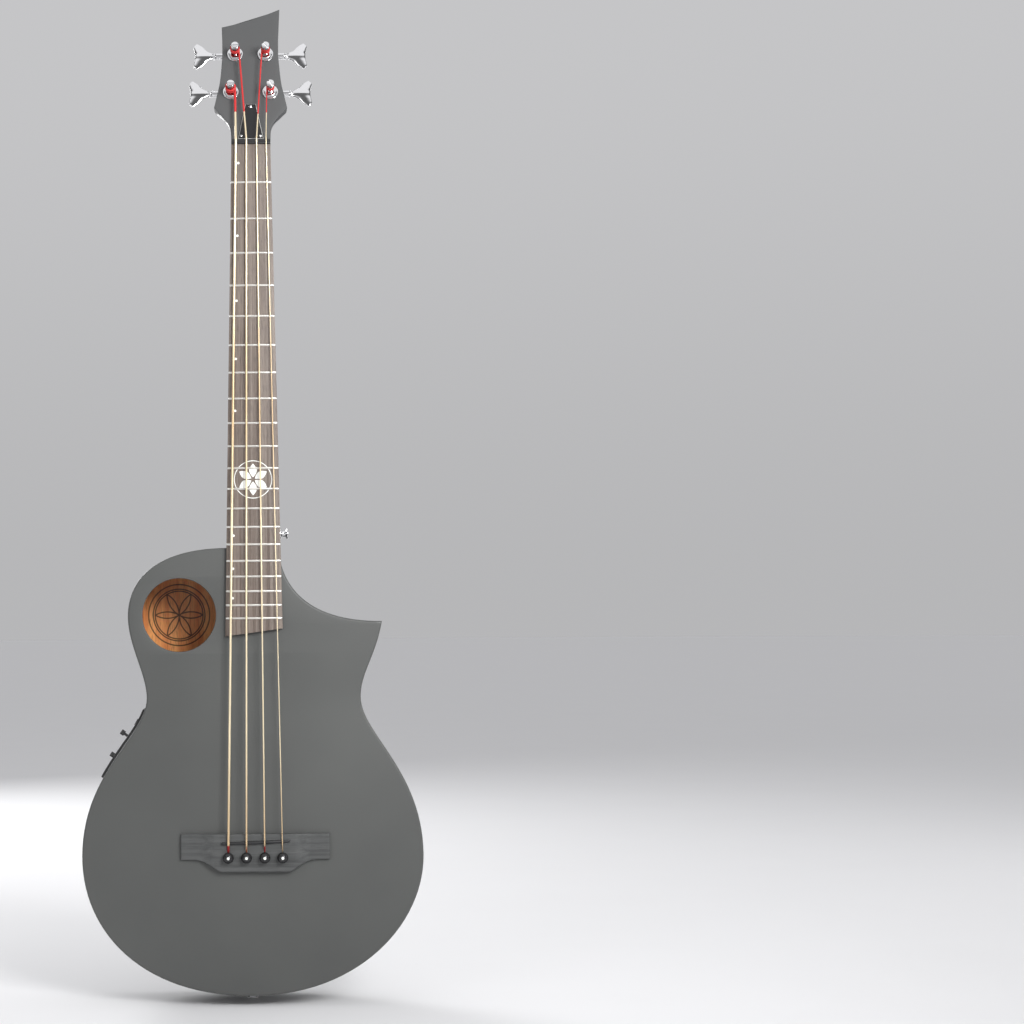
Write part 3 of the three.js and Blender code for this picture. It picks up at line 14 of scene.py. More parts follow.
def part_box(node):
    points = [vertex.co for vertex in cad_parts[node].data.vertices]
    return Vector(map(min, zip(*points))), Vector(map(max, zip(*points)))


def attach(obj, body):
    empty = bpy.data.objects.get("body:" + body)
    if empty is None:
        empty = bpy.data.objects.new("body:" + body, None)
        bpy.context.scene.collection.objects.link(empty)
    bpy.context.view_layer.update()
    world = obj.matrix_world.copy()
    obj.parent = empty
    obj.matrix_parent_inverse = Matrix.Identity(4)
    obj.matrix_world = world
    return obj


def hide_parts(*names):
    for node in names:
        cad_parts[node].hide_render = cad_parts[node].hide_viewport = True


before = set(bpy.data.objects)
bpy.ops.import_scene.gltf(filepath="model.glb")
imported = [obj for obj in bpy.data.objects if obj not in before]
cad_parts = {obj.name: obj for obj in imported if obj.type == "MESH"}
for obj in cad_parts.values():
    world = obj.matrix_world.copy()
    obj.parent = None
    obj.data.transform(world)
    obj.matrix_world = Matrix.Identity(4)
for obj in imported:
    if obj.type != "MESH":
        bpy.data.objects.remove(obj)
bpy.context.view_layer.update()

# Camera: it stands two metres in front of the body, level with its upper bout, and looks up a
# little. The lens is shifted so that the instrument stands in the left half of the picture.
camera = bpy.data.objects.new("studio_camera", bpy.data.cameras.new("studio_camera"))
bpy.context.scene.collection.objects.link(camera)
camera.data.lens = 67
camera.data.sensor_width = 36
camera.data.shift_x = 0.252
camera.location = (0, -2.0737, -0.5238)
camera.rotation_euler = np.radians((93.24, 0.376, 0))
bpy.context.scene.camera = camera
bpy.context.scene.view_settings.view_transform = "Standard"

# Floor: a sheet of pale paper under the instrument, so wide that its edge is never seen. It
# belongs to the studio and not to the part.
FLOOR = -0.9405
FLOOR_RADIUS = 40.0
FLOOR_SIDES = 96
PAPER = np.array((0.8, 0.8, 0.81))


def new_finish(name):
    """A new material, its node tree, its surface's inputs, and the place on the object."""
    material = bpy.data.materials.new(name)
    material.use_nodes = True
    tree = material.node_tree
    place = tree.nodes.new("ShaderNodeTexCoord").outputs["Object"]
    return material, tree, tree.nodes["Principled BSDF"].inputs, place


def clouds(tree, place, scale, detail=2, distortion=0):
    """Soft noise over a place, from 0 to 1."""
    node = tree.nodes.new("ShaderNodeTexNoise")
    node.inputs["Scale"].default_value = scale
    node.inputs["Detail"].default_value = detail
    node.inputs["Distortion"].default_value = distortion
    tree.links.new(place, node.inputs["Vector"])
    return node.outputs["Fac"]


def tinted(tree, value, *stops):
    """A colour read off a value. Each stop is a value, in rising order, and its colour."""
    node = tree.nodes.new("ShaderNodeValToRGB")
    elements = node.color_ramp.elements
    for n, (at, colour) in enumerate(stops):
        if n > 1:
            elements.new(at)
        elements[n].position = at
        elements[n].color = (*colour, 1)
    tree.links.new(value, node.inputs["Fac"])
    return node.outputs["Color"]


paper, tree, surface, place = new_finish("pale_paper")
surface["Roughness"].default_value = 0.9
paper_tone = tinted(tree, clouds(tree, place, 6), (0, 0.98 * PAPER), (1, PAPER))
tree.links.new(paper_tone, surface["Base Color"])

floor_turn = np.linspace(0, 2 * np.pi, FLOOR_SIDES, endpoint=False)
floor_edge = FLOOR_RADIUS * np.stack([np.cos(floor_turn), np.sin(floor_turn), 0 * floor_turn], -1)
floor_mesh = bpy.data.meshes.new("paper_floor")
floor_mesh.from_pydata((floor_edge + [0, 0, FLOOR]).tolist(), [], [list(range(FLOOR_SIDES))])
floor_mesh.materials.append(paper)
floor = bpy.data.objects.new("paper_floor", floor_mesh)
bpy.context.scene.collection.objects.link(floor)

# Light: an even room, a soft lamp with a grid close by on the right, a large weak one on the
# left, and two that draw the edges. The room as it is seen, straight or in metal, is pale at the
# horizon like the paper, darker under the ceiling and white above.
ROOM_LIGHT = 0.58
ROOM_SEEN = ((0.5, 0.47), (0.66, 0.56), (0.7, 0.16), (0.8, 0.12), (0.86, 0.95))


def mapped(tree, value, start, end, low=0, high=1):
    """A value carried over from one range to another, and held inside it."""
    node = tree.nodes.new("ShaderNodeMapRange")
    for name, number in (("From Min", start), ("From Max", end), ("To Min", low), ("To Max", high)):
        node.inputs[name].default_value = number
    tree.links.new(value, node.inputs["Value"])
    return node.outputs["Result"]


def reckon(tree, operation, *values):
    """A number worked out from sockets and other numbers."""
    node = tree.nodes.new("ShaderNodeMath")
    node.operation = operation
    for socket, value in zip(node.inputs, values):
        if isinstance(value, bpy.types.NodeSocket):
            tree.links.new(value, socket)
        else:
            socket.default_value = value
    return node.outputs["Value"]


def room_tint(tone):
    """A grey of the room, a touch blue."""
    return tone, tone, 1.02 * tone


world = bpy.data.worlds.new("studio_room")
bpy.context.scene.world = world
world.use_nodes = True
tree = world.node_tree
compass = tree.nodes.new("ShaderNodeSeparateXYZ")
tree.links.new(tree.nodes.new("ShaderNodeTexCoord").outputs["Generated"], compass.inputs["Vector"])
rise = mapped(tree, compass.outputs["Z"], -1, 1)
seen = tinted(tree, rise, *((at, room_tint(tone)) for at, tone in ROOM_SEEN))
seen.node.color_ramp.interpolation = "EASE"
ray = tree.nodes.new("ShaderNodeLightPath").outputs
straight_or_mirrored = reckon(tree, "MAXIMUM", ray["Is Camera Ray"], ray["Is Glossy Ray"])
any_of_three = reckon(tree, "MAXIMUM", straight_or_mirrored, ray["Is Transmission Ray"])
choice = tree.nodes.new("ShaderNodeMix")
choice.data_type = "RGBA"
choice.inputs["A"].default_value = (*room_tint(ROOM_LIGHT), 1)
tree.links.new(any_of_three, choice.inputs["Factor"])
tree.links.new(seen, choice.inputs["B"])
tree.links.new(choice.outputs["Result"], tree.nodes["Background"].inputs["Color"])
tree.nodes["Background"].inputs["Strength"].default_value = 1


def lamp(name, place, aim, size, power, spread=180):
    """A square soft lamp at a place, turned to face what it is aimed at; a grid over it may
    narrow the angle that it spreads to."""
    light = bpy.data.lights.new(name, "AREA")
    light.shape = "SQUARE"
    light.size = size
    light.energy = power
    light.spread = np.radians(spread)
    holder = bpy.data.objects.new(name, light)
    holder.location = place
    holder.rotation_euler = (Vector(aim) - Vector(place)).to_track_quat("-Z", "Y").to_euler()
    bpy.context.scene.collection.objects.link(holder)


lamp("key_lamp", (0.75, -1.35, 0.15), (0.03, 0, -0.32), 0.7, 7.5, 90)
lamp("fill_lamp", (-1.7, -2.4, 0.6), (0, 0, -0.4), 1.4, 8)
lamp("edge_lamp", (2.3, 0.5, 0.2), (0, 0, -0.4), 1.2, 9)
lamp("back_lamp", (-1.2, 2.2, 0.5), (0, 0, -0.35), 1.2, 36)

# Rim: two mahogany sides, 2.6 mm thick, bent over a hot iron to the body's outline and sprayed
# matte charcoal outside. Their inner faces are left bare.
MM = 0.001
BODY_TOP = -445.0
BODY_LENGTH = 484.0
GLUE_FACE = 6.5
TOP_INSIDE = 9.7
RIM_THICKNESS = 2.6
BACK_THICKNESS = 2.8


def body_outline(steps):
    """Eight cubic curves in x and z, one between each wide or narrow place and the next. Their
    handles are shares of the width and height between the two places."""
    marks = np.array(
        [
            (-28, 0),
            (-137.6, 0.153),
            (-117.3, 0.337),
            (-187.8, 0.69),
            (-4, 1),
            (182.2, 0.69),
            (115.7, 0.337),
            (139.6, 0.167),
            (27, 0),
        ]
    )
    marks[:, 1] = BODY_TOP - BODY_LENGTH * marks[:, 1]
    leave = np.array(
        [
            (0.779, 0),
            (0, 0.36),
            (0, 0.239),
            (0, 0.534),
            (0.62, 0),
            (0, 0.535),
            (0, 0.315),
            (0.653, 0),
        ]
    )
    arrive = np.array(
        [
            (0, 0.478),
            (0, 0.292),
            (0, 0.538),
            (0.652, 0),
            (0, 0.49),
            (0, 0.235),
            (0.28, 0.465),
            (0.036, 0.616),
        ]
    )
    start, end = marks[:-1], marks[1:]
    first = start + leave * (end - start)
    second = end - arrive * (end - start)
    t = np.linspace(0, 1, steps, endpoint=False)[:, None, None]
    curve = (1 - t) ** 3 * start + 3 * t * (1 - t) ** 2 * first
    curve = curve + 3 * t**2 * (1 - t) * second + t**3 * end
    return np.vstack([curve.transpose(1, 0, 2).reshape(-1, 2), end[-1:]])


def inset(outline, distance):
    """Each corner of a closed outline moved inwards along its mitre: the sum of the two sides'
    inward normals, over one plus their dot product."""
    way = np.roll(outline, -1, 0) - outline
    way = way / np.linalg.norm(way, axis=1, keepdims=True)
    after = np.stack([-way[:, 1], way[:, 0]], -1)
    before = np.roll(after, 1, 0)
    return outline + distance * (before + after) / (1 + (before * after).sum(1, keepdims=True))


def back_face(x, z):
    """Depth of the back's outer face: a straight taper, plus a dome that falls with the square of
    the distance across and of the distance along."""
    down = (BODY_TOP - z) / BODY_LENGTH
    dome = 1 - (x / 185) ** 2 - (2 * down - 1) ** 2
    return GLUE_FACE + 82 + 13 * down + 4 * dome


def level(face, outline):
    """The y of a face over the points of an outline; a face is a number or a function of x, z."""
    if callable(face):
        return face(outline[:, 0], outline[:, 1])
    return np.full(len(outline), float(face))


def ring(outline, face):
    """An outline in x and z lifted to its face, as points."""
    return np.stack([outline[:, 0], level(face, outline), outline[:, 1]], -1)


def skin(rings, finish=0, capped=False):
    """Quads between each ring of points and the next. With caps, a flat face closes each end."""
    count = rings.shape[1]
    here = np.arange(count)
    after = np.roll(here, -1)
    start = count * np.arange(len(rings) - 1)[:, None]
    corners = [start + here, start + after, start + count + after, start + count + here]
    parts = [(rings.reshape(-1, 3), np.stack(corners, -1).reshape(-1, 4).tolist(), finish, True)]
    if capped:
        parts += [(end, [here.tolist()], finish, False) for end in (rings[0], rings[-1])]
    return parts


def build(name, parts, finishes, sharp=35):
    """One mesh from parts of points, faces, finish number and smoothness. Points that meet are
    merged, faces turned outwards, and edges sharper than an angle kept crisp."""
    firsts = np.cumsum([0] + [len(points) for points, *_ in parts])
    faces = [
        [int(first) + corner for corner in face]
        for first, (_, part, _, _) in zip(firsts, parts)
        for face in part
    ]
    mesh = bpy.data.meshes.new(name)
    mesh.from_pydata((np.vstack([p for p, *_ in parts]) * MM).tolist(), [], faces)
    sizes = [len(part) for _, part, _, _ in parts]
    mesh.polygons.foreach_set("material_index", np.repeat([f for *_, f, _ in parts], sizes))
    mesh.polygons.foreach_set("use_smooth", np.repeat([s for *_, s in parts], sizes))
    work = bmesh.new()
    work.from_mesh(mesh)
    bmesh.ops.remove_doubles(work, verts=work.verts, dist=1e-6)
    bmesh.ops.recalc_face_normals(work, faces=work.faces)
    work.to_mesh(mesh)
    work.free()
    mesh.set_sharp_from_angle(angle=np.radians(sharp))
    for finish in finishes:
        mesh.materials.append(finish)
    piece = bpy.data.objects.new(name, mesh)
    bpy.context.scene.collection.objects.link(piece)
    return piece


def fit(piece, body, slot, *nodes):
    """Says which body a piece rides on and the nodes it stands for; its slot is not used."""
    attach(piece, body)
    if nodes:
        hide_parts(*nodes)


def textured(tree, height, strength, distance):
    """Lifts the surface by a height from 0 to 1, times a distance."""
    node = tree.nodes.new("ShaderNodeBump")
    node.inputs["Strength"].default_value = strength
    node.inputs["Distance"].default_value = distance
    tree.links.new(height, node.inputs["Height"])
    tree.links.new(node.outputs["Normal"], tree.nodes["Principled BSDF"].inputs["Normal"])


def lacquer(name, dark, light, rough, grain=900, bump=0.02):
    """Sprayed lacquer: a slow drift of tone, a fine speckle in gloss, and a very low texture."""
    material, tree, surface, place = new_finish(name)
    speckle = clouds(tree, place, grain)
    tone = reckon(tree, "MULTIPLY_ADD", speckle, 0.35, clouds(tree, place, 7, 3))
    gloss = mapped(tree, speckle, 0, 1, rough - 0.06, rough + 0.06)
    tree.links.new(tinted(tree, tone, (0.4, dark), (0.95, light)), surface["Base Color"])
    tree.links.new(gloss, surface["Roughness"])
    textured(tree, speckle, bump, 0.0004)
    return material


def laid(tree, place, turn=(0, 0, 0), stretch=(1, 1, 1)):
    """A place turned or stretched, to lay a pattern on it."""
    node = tree.nodes.new("ShaderNodeMapping")
    node.inputs["Rotation"].default_value = turn
    node.inputs["Scale"].default_value = stretch
    tree.links.new(place, node.inputs["Vector"])
    return node.outputs["Vector"]


def darkened(tree, colour, shade):
    """A colour times a shade from 0 to 1."""
    node = tree.nodes.new("ShaderNodeMix")
    node.data_type = "RGBA"
    node.blend_type = "MULTIPLY"
    node.inputs["Factor"].default_value = 1
    tree.links.new(colour, node.inputs["A"])
    tree.links.new(shade, node.inputs["B"])
    return node.outputs["Result"]


def wood(name, dark, light, rough, along=(0, 0, 0), across=260, pores=0.5):
    """Sawn wood: long narrow bands of tone that run up the Z axis after a turn of the pattern,
    and darker pores, short and narrow, that are sunk a little."""
    material, tree, surface, place = new_finish(name)
    place = laid(tree, place, turn=along)
    bands = clouds(tree, laid(tree, place, stretch=(across, across, 5)), 1, 4, 0.6)
    fine = clouds(tree, laid(tree, place, stretch=(9 * across, 9 * across, 90)), 1, 4)
    pore = mapped(tree, fine, 0.36, 0.46, 1 - pores, 1)
    colour = darkened(tree, tinted(tree, bands, (0.3, dark), (0.72, light)), pore)
    gloss = mapped(tree, bands, 0, 1, rough + 0.08, rough - 0.08)
    tree.links.new(colour, surface["Base Color"])
    tree.links.new(gloss, surface["Roughness"])
    textured(tree, pore, 0.15, 0.0005)
    return material


charcoal = lacquer("charcoal_matte_lacquer", (0.068, 0.07, 0.068), (0.086, 0.089, 0.085), 0.46)
bare_mahogany = wood("bare_mahogany", (0.25, 0.085, 0.03), (0.46, 0.18, 0.07), 0.55)

outline = body_outline(28)
inner_outline = inset(outline, RIM_THICKNESS)


def back_inside(x, z):
    """Depth of the back's inner face."""
    return back_face(x, z) - BACK_THICKNESS


def between(front, back, share):
    """A face that lies at a share of the way from one face to another."""
    return lambda x, z: front + (back(x, z) - front) * share


rim_shares = np.linspace(0, 1, 7)
outer_wall = np.array([ring(outline, between(TOP_INSIDE, back_inside, s)) for s in rim_shares])
inner_wall = np.array(
    [ring(inner_outline, between(TOP_INSIDE, back_inside, s)) for s in rim_shares]
)
rim = build(
    "bent_rim",
    skin(outer_wall)
    + skin(inner_wall, 1)
    + skin(np.array([outer_wall[0], inner_wall[0]]), 1)
    + skin(np.array([outer_wall[-1], inner_wall[-1]]), 1),
    [charcoal, bare_mahogany],
)
fit(rim, "instrument", "matte_black", "rim")

# Soundboard: a 3.2 mm plate sprayed with the sides, its outer edge rounded over. The round
# soundhole lies in the upper corner on the bass side.
SOUNDHOLE = (-81.5, -518.0)
SOUNDHOLE_RADIUS = 40.0
TOP_ROUNDING = 2.4
HOLE_ROUNDING = 0.9


def circle(centre, radius, sides):
    """Points on a circle in x and z, anticlockwise."""
    angle = np.linspace(0, 2 * np.pi, sides, endpoint=False)
    return np.array(centre) + radius * np.stack([np.cos(angle), np.sin(angle)], -1)


def edge_rings(outline, front, back, round_front, round_back, inwards=1, steps=6):
    """The outline carried round an edge: a quarter circle at the front, straight over the
    thickness, and a quarter circle at the back. A hole's outline moves the other way."""
    angle = np.radians(np.linspace(0, 90, steps + 1))
    drawn = np.concatenate(
        [round_front * (1 - np.sin(angle)), round_back * (1 - np.cos(angle))]
    )
    front_drop = round_front * (1 - np.cos(angle))
    back_drop = round_back * (1 - np.sin(angle))
    loops = [inset(outline, inwards * d) for d in drawn]
    fronts = [ring(o, front) + [0, d, 0] for o, d in zip(loops[: steps + 1], front_drop)]
    backs = [ring(o, back) - [0, d, 0] for o, d in zip(loops[steps + 1 :], back_drop)]
    return np.array(fronts + backs)


def plate(outline, front, back, round_front=0.0, round_back=0.0, holes=(), inner=0):
    """A flat board: its faces are cut into triangles between outline and holes, and its edges
    are the outlines carried round them. The back face may have a finish of its own."""
    edges = [edge_rings(outline, front, back, round_front, round_back)]
    edges += [edge_rings(hole, front, back, rounding, 0, -1) for hole, rounding in holes]
    parts = []
    for edge in edges:
        parts += skin(edge)
    for end, finish in ((0, 0), (-1, inner)):
        loops = [[Vector((p[0], p[2], 0)) for p in edge[end]] for edge in edges]
        triangles = [list(t) for t in tessellate_polygon(loops)]
        parts.append((np.vstack([edge[end] for edge in edges]), triangles, finish, False))
    return parts


soundhole = circle(SOUNDHOLE, SOUNDHOLE_RADIUS, 120)
soundboard = build(
    "soundboard_plate",
    plate(outline, GLUE_FACE, TOP_INSIDE, TOP_ROUNDING, 0, [(soundhole, HOLE_ROUNDING)], 1),
    [charcoal, bare_mahogany],
)
fit(soundboard, "instrument", "matte_black", "soundboard")

# Back: a 2.8 mm plate pressed to a low dome, rounded over at its edge. Its inner face is bare
# mahogany with a burnt six-petal figure behind the soundhole, painted far brighter and more orange
# than the bare mahogany inside the rim: painted light that stands in for the light falling into
# the body through the soundhole.
ARCH_CENTRE = np.array((0, BODY_TOP - 0.56 * BODY_LENGTH))
FIGURE = (-84.7, -517.8)
FIGURE_RADIUS = 27.0
FIGURE_LINE = 1.3
FIGURE_SHADE = 0.14
BACK_ROUNDING = 2.3
back_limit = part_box("back_plate")[1][1] / MM


def burnt_figure(material, centre, radius, line):
    """Burns a figure into a wood: its colour darkens where a point lies within half a line of a
    ring, or of one of six arcs of the same radius struck inside it from points on the ring."""
    tree = material.node_tree
    surface = tree.nodes["Principled BSDF"].inputs
    bare = surface["Base Color"].links[0].from_socket
    flat = tree.nodes.new("ShaderNodeVectorMath")
    flat.operation = "MULTIPLY"
    flat.inputs[1].default_value = (1, 0, 1)
    tree.links.new(tree.nodes.new("ShaderNodeTexCoord").outputs["Object"], flat.inputs[0])

    def beyond(spot, reach):
        away = tree.nodes.new("ShaderNodeVectorMath")
        away.operation = "DISTANCE"
        away.inputs[1].default_value = (spot[0] * MM, 0, spot[1] * MM)
        tree.links.new(flat.outputs["Vector"], away.inputs[0])
        return reckon(tree, "SUBTRACT", away.outputs["Value"], reach * MM)

    arcs = [reckon(tree, "ABSOLUTE", beyond(spot, radius)) for spot in circle(centre, radius, 6)]
    nearest = arcs[0]
    for arc in arcs[1:]:
        nearest = reckon(tree, "MINIMUM", nearest, arc)
    nearest = reckon(tree, "MAXIMUM", nearest, beyond(centre, radius))
    for reach in (radius, radius + 2.2, radius + 7.5):
        ring_line = reckon(tree, "ABSOLUTE", beyond(centre, reach))
        nearest = reckon(tree, "MINIMUM", nearest, ring_line)
    shade = mapped(tree, nearest, 0.4 * line * MM, 0.7 * line * MM, FIGURE_SHADE, 1)
    tree.links.new(darkened(tree, bare, shade), surface["Base Color"])


# Painted light: this mahogany is brighter than bare_mahogany, standing in for the light that falls
# in through the soundhole.
back_mahogany_painted_light = wood(
    "back_mahogany_painted_light", (0.68, 0.21, 0.055), (0.97, 0.5, 0.18), 0.4, across=110, pores=0.3
)
burnt_figure(back_mahogany_painted_light, FIGURE, FIGURE_RADIUS, FIGURE_LINE)


def dished(outline, face, shares):
    """Rings drawn in from an outline to the middle of the lower body, each on its face."""
    rings = [ring(ARCH_CENTRE + s * (outline - ARCH_CENTRE), face) for s in shares]
    return np.array(rings)


def outer_back(x, z):
    """The back's outer face, held inside the CAD model's box."""
    return np.minimum(back_face(x, z), back_limit)


arch_shares = np.sin(np.radians(np.linspace(0, 90, 25)))
back_edge = edge_rings(outline, back_inside, outer_back, 0, BACK_ROUNDING)
back_inner = dished(outline, back_inside, arch_shares)
back_outer = dished(inset(outline, BACK_ROUNDING), outer_back, arch_shares[::-1])
back_plate = build(
    "domed_back",
    skin(back_inner, 1) + skin(back_edge) + skin(back_outer),
    [charcoal, back_mahogany_painted_light],
)
fit(back_plate, "instrument", "matte_black", "back_plate")

# Inner wood: linings, blocks and braces are bare spruce and mahogany, glued in before the body
# is closed. They keep the shapes of their solids.
bare_spruce = wood("bare_spruce", (0.5, 0.33, 0.17), (0.7, 0.5, 0.3), 0.6, across=420, pores=0.2)
spruce_across = wood(
    "spruce_across", (0.5, 0.33, 0.17), (0.7, 0.5, 0.3), 0.6, (0, np.pi / 2, 0), 420, 0.2
)


def coat_node(name, finish):
    """Gives a solid of the CAD model its finish."""
    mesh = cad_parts[name].data
    mesh.materials.clear()
    mesh.materials.append(finish)


for name in ("x_brace_bass", "x_brace_treble", "top_lining", "back_lining"):
    coat_node(name, bare_spruce)
for name in ("upper_brace", "tone_bar", "back_brace_1", "back_brace_2", "back_brace_3"):
    coat_node(name, spruce_across)
for name in ("neck_block", "tail_block", "bridge_plate"):
    coat_node(name, bare_mahogany)

# Neck: one piece of mahogany from the slanted top of the headstock to the heel. The headstock
# is charcoal like the body, the shaft satin black, and the two meet in a tongue behind the nut.
NUT_WIDTH = 43.0
BOARD_END_WIDTH = 62.5
BOARD_END_MIDDLE = 537.4
HEAD_TILT = np.radians(15)
HEAD_THICKNESS = 14.5
HEAD_LENGTH = 166.4
HEAD_TOP_HALF = 32.65
HEAD_TOP_SHORT = 22.8
HEAD_TOP_HOLLOW = 2.2
NECK_FLAT = 4.0
HEEL_START = 385.0
HEEL_CAP_TOP = 424.0
HEEL_END = 445.0
HEEL_DEPTH = 78.9
DEPTH_BY_NUT = 14.0
DEPTH_BY_HEEL = 18.5
HEEL_CAP_HALF = 28.5

# A frame's rows are its x, y and z axes and its origin.
head_frame = np.array(
    [
        (1, 0, 0),
        (0, np.cos(HEAD_TILT), -np.sin(HEAD_TILT)),
        (0, np.sin(HEAD_TILT), np.cos(HEAD_TILT)),
        (0, GLUE_FACE, 5.5),
    ]
)
neck_frame = np.array([(1, 0, 0), (0, 1, 0), (0, 0, 1), (0, GLUE_FACE, 0)])


def placed(points, place):
    """Points of a piece's own frame carried into the instrument's."""
    return points @ place[:3] + place[3]


def smooth_through(knots, values, where):
    """A curve through values at knots that never overshoots them: cubics whose slope at a knot
    is the harmonic mean of the slopes on either side, or level where those differ in sign."""
    knots, values = np.array(knots, float), np.array(values, float)
    run = np.diff(knots)
    secant = np.diff(values) / run
    product = secant[:-1] * secant[1:]
    total = secant[:-1] + secant[1:]
    inner = np.where(product > 0, 2 * product / np.where(total == 0, 1, total), 0)
    slope = np.concatenate([secant[:1], inner, secant[-1:]])
    i = np.clip(np.searchsorted(knots, where) - 1, 0, len(run) - 1)
    t = (where - knots[i]) / run[i]
    rise = values[i] * (1 + 2 * t) * (1 - t) ** 2 + values[i + 1] * t * t * (3 - 2 * t)
    lean = slope[i] * t * (1 - t) ** 2 - slope[i + 1] * t * t * (1 - t)
    return rise + run[i] * lean


def board_half(down):
    """Half the fingerboard's width at a distance from the nut."""
    return (NUT_WIDTH + (BOARD_END_WIDTH - NUT_WIDTH) * down / BOARD_END_MIDDLE) / 2


def neck_section(face, flat, depth, rounding):
    """Half a section and its mirror image: a level front, a small quarter circle, a quarter
    ellipse from the widest place to the flat on the back, and that flat."""
    corner = np.radians(np.linspace(0, 90, 5))
    start = np.arcsin(min(rounding / depth, 1))
    side = np.linspace(start, np.pi / 2, 19)[1:]
    front = np.linspace(0, 1, 7)[:-1] * (face - rounding)
    back = flat * np.linspace(1, 0, 6)[1:]
    x = np.concatenate(
        [
            front,
            face - rounding + rounding * np.sin(corner),
            flat + (face - flat) * np.cos(side),
            back,
        ]
    )
    y = np.concatenate(
        [0 * front, rounding * (1 - np.cos(corner)), depth * np.sin(side), depth + 0 * back]
    )
    mirror = slice(len(x) - 2, 0, -1)
    return np.concatenate([x, -x[mirror]]), np.concatenate([y, y[mirror]])


def neck_rings(place, heights, faces, flats, depths, roundings):
    """One ring of the neck for each height, in the frame given."""
    rings = []
    for height, face, flat, depth, rounding in np.broadcast(
        heights, faces, flats, depths, roundings
    ):
        x, y = neck_section(face, flat, depth, rounding)
        rings.append(placed(np.stack([x, y, 0 * x + height], -1), place))
    return np.array(rings)


head_knots = np.array(
    [
        (0, 21.7, 6.5),
        (5.6, 21.9, 11),
        (10, 22.1, 14.2),
        (16, 23.3, 18),
        (22, 25.7, 20.3),
        (26.5, 29.1, 22),
        (32, 33.3, 29),
        (41.7, 40.6, 39),
        (57, 37.4, 35.8),
        (73, 34.3, 32.7),
        (92, 32.5, 30.9),
        (110, 31.4, 29.8),
        (127, 31.5, 29.9),
    ]
)
below = np.linspace(0, 41.7, 34)
above = np.linspace(41.7, 127, 40)[1:]
head_faces, head_flats = (
    np.concatenate(
        [
            smooth_through(head_knots[:8, 0], head_knots[:8, n], below),
            smooth_through(head_knots[7:, 0], head_knots[7:, n], above),
        ]
    )
    for n in (1, 2)
)
head_heights = np.concatenate([below, above])
head_rounding = 0.05 + 0.75 * np.clip(head_heights / 12, 0, 1)
head_rings = neck_rings(
    head_frame, head_heights, head_faces, head_flats, HEAD_THICKNESS, head_rounding
)[::-1]
top_x, top_y = neck_section(HEAD_TOP_HALF, HEAD_TOP_HALF - 1.6, HEAD_THICKNESS, 0.8)
share = top_x / HEAD_TOP_HALF
top_z = HEAD_LENGTH + HEAD_TOP_SHORT * (share - 1) / 2 - HEAD_TOP_HOLLOW * (1 - share**2)
top_ring = placed(np.stack([top_x + 0.65, top_y, top_z], -1), head_frame)
rise = np.linspace(0, 1, 11)[:-1, None, None]
top_rings = top_ring + (head_rings[0] - top_ring) * rise
downs = np.linspace(7.7, HEEL_START, 40)
shaft_depths = DEPTH_BY_NUT + (DEPTH_BY_HEEL - DEPTH_BY_NUT) * downs / HEEL_START
shaft_rings = neck_rings(
    neck_frame, -downs, board_half(downs), NECK_FLAT, shaft_depths, 0.05
)
step = np.linspace(0, 1, 8)[1:-1, None, None]
bend_rings = head_rings[-1] + (shaft_rings[0] - head_rings[-1]) * step
turn = np.radians(np.linspace(0, 90, 15))[1:]
heel_downs = HEEL_START + (HEEL_CAP_TOP - HEEL_START) * np.sin(turn)
heel_depths = DEPTH_BY_HEEL + (HEEL_DEPTH - DEPTH_BY_HEEL) * (1 - np.cos(turn))
heel_rings = neck_rings(
    neck_frame, -heel_downs, board_half(heel_downs), NECK_FLAT, heel_depths, 0.05
)
cap_downs = HEEL_END - (HEEL_END - HEEL_CAP_TOP) * np.cos(turn)
cap_halves = np.maximum(HEEL_CAP_HALF * np.sin(turn), NECK_FLAT)
cap_rings = neck_rings(neck_frame, -cap_downs, board_half(cap_downs), cap_halves, HEEL_DEPTH, 0.05)

# Half of the tongue in which the headstock's colour ends, by height over the nut.
TONGUE = (
    (-3.2, 0),
    (-2.6, 4.6),
    (-0.5, 8.6),
    (2.4, 11.6),
    (11.4, 16.2),
    (23, 21.3),
    (32.7, 29.5),
    (42.6, 40),
)
HEAD_ROUGHNESS = 0.64
TONGUE_BLUR = 0.008


def two_tone(name, upper, lower, rough):
    """Two lacquers: the upper one covers the headstock's face, and its back down to the end of
    the tongue; the lower one covers the rest."""
    material = lacquer(name, lower, tuple(1.25 * c for c in lower), rough, 700, 0.015)
    tree = material.node_tree
    surface = tree.nodes["Principled BSDF"].inputs
    (low, _), (high, widest) = TONGUE[0], TONGUE[-1]

    def split(kind, output):
        parts = tree.nodes.new("ShaderNodeSeparateXYZ")
        tree.links.new(tree.nodes.new(kind).outputs[output], parts.inputs["Vector"])
        return parts.outputs

    place = split("ShaderNodeTexCoord", "Object")
    facing = split("ShaderNodeNewGeometry", "Normal")
    stops = [((rise - low) / (high - low), [half / widest] * 3) for rise, half in TONGUE]
    tongue = tinted(tree, mapped(tree, place["Z"], low * MM, high * MM), *stops)
    across = mapped(tree, reckon(tree, "ABSOLUTE", place["X"]), 0, widest * MM)
    inside = mapped(tree, reckon(tree, "SUBTRACT", tongue, across), -TONGUE_BLUR, TONGUE_BLUR)
    above = mapped(tree, place["Z"], (high - 0.4) * MM, high * MM)
    front = mapped(tree, facing["Y"], -0.6, -0.8)
    covered = reckon(tree, "MAXIMUM", reckon(tree, "MAXIMUM", inside, above), front)
    for socket, kind, value in (
        ("Base Color", "RGBA", (*upper, 1)),
        ("Roughness", "FLOAT", HEAD_ROUGHNESS),
    ):
        blend = tree.nodes.new("ShaderNodeMix")
        blend.data_type = kind
        blend.inputs["B"].default_value = value
        tree.links.new(covered, blend.inputs["Factor"])
        tree.links.new(surface[socket].links[0].from_socket, blend.inputs["A"])
        tree.links.new(blend.outputs["Result"], surface[socket])
    return material


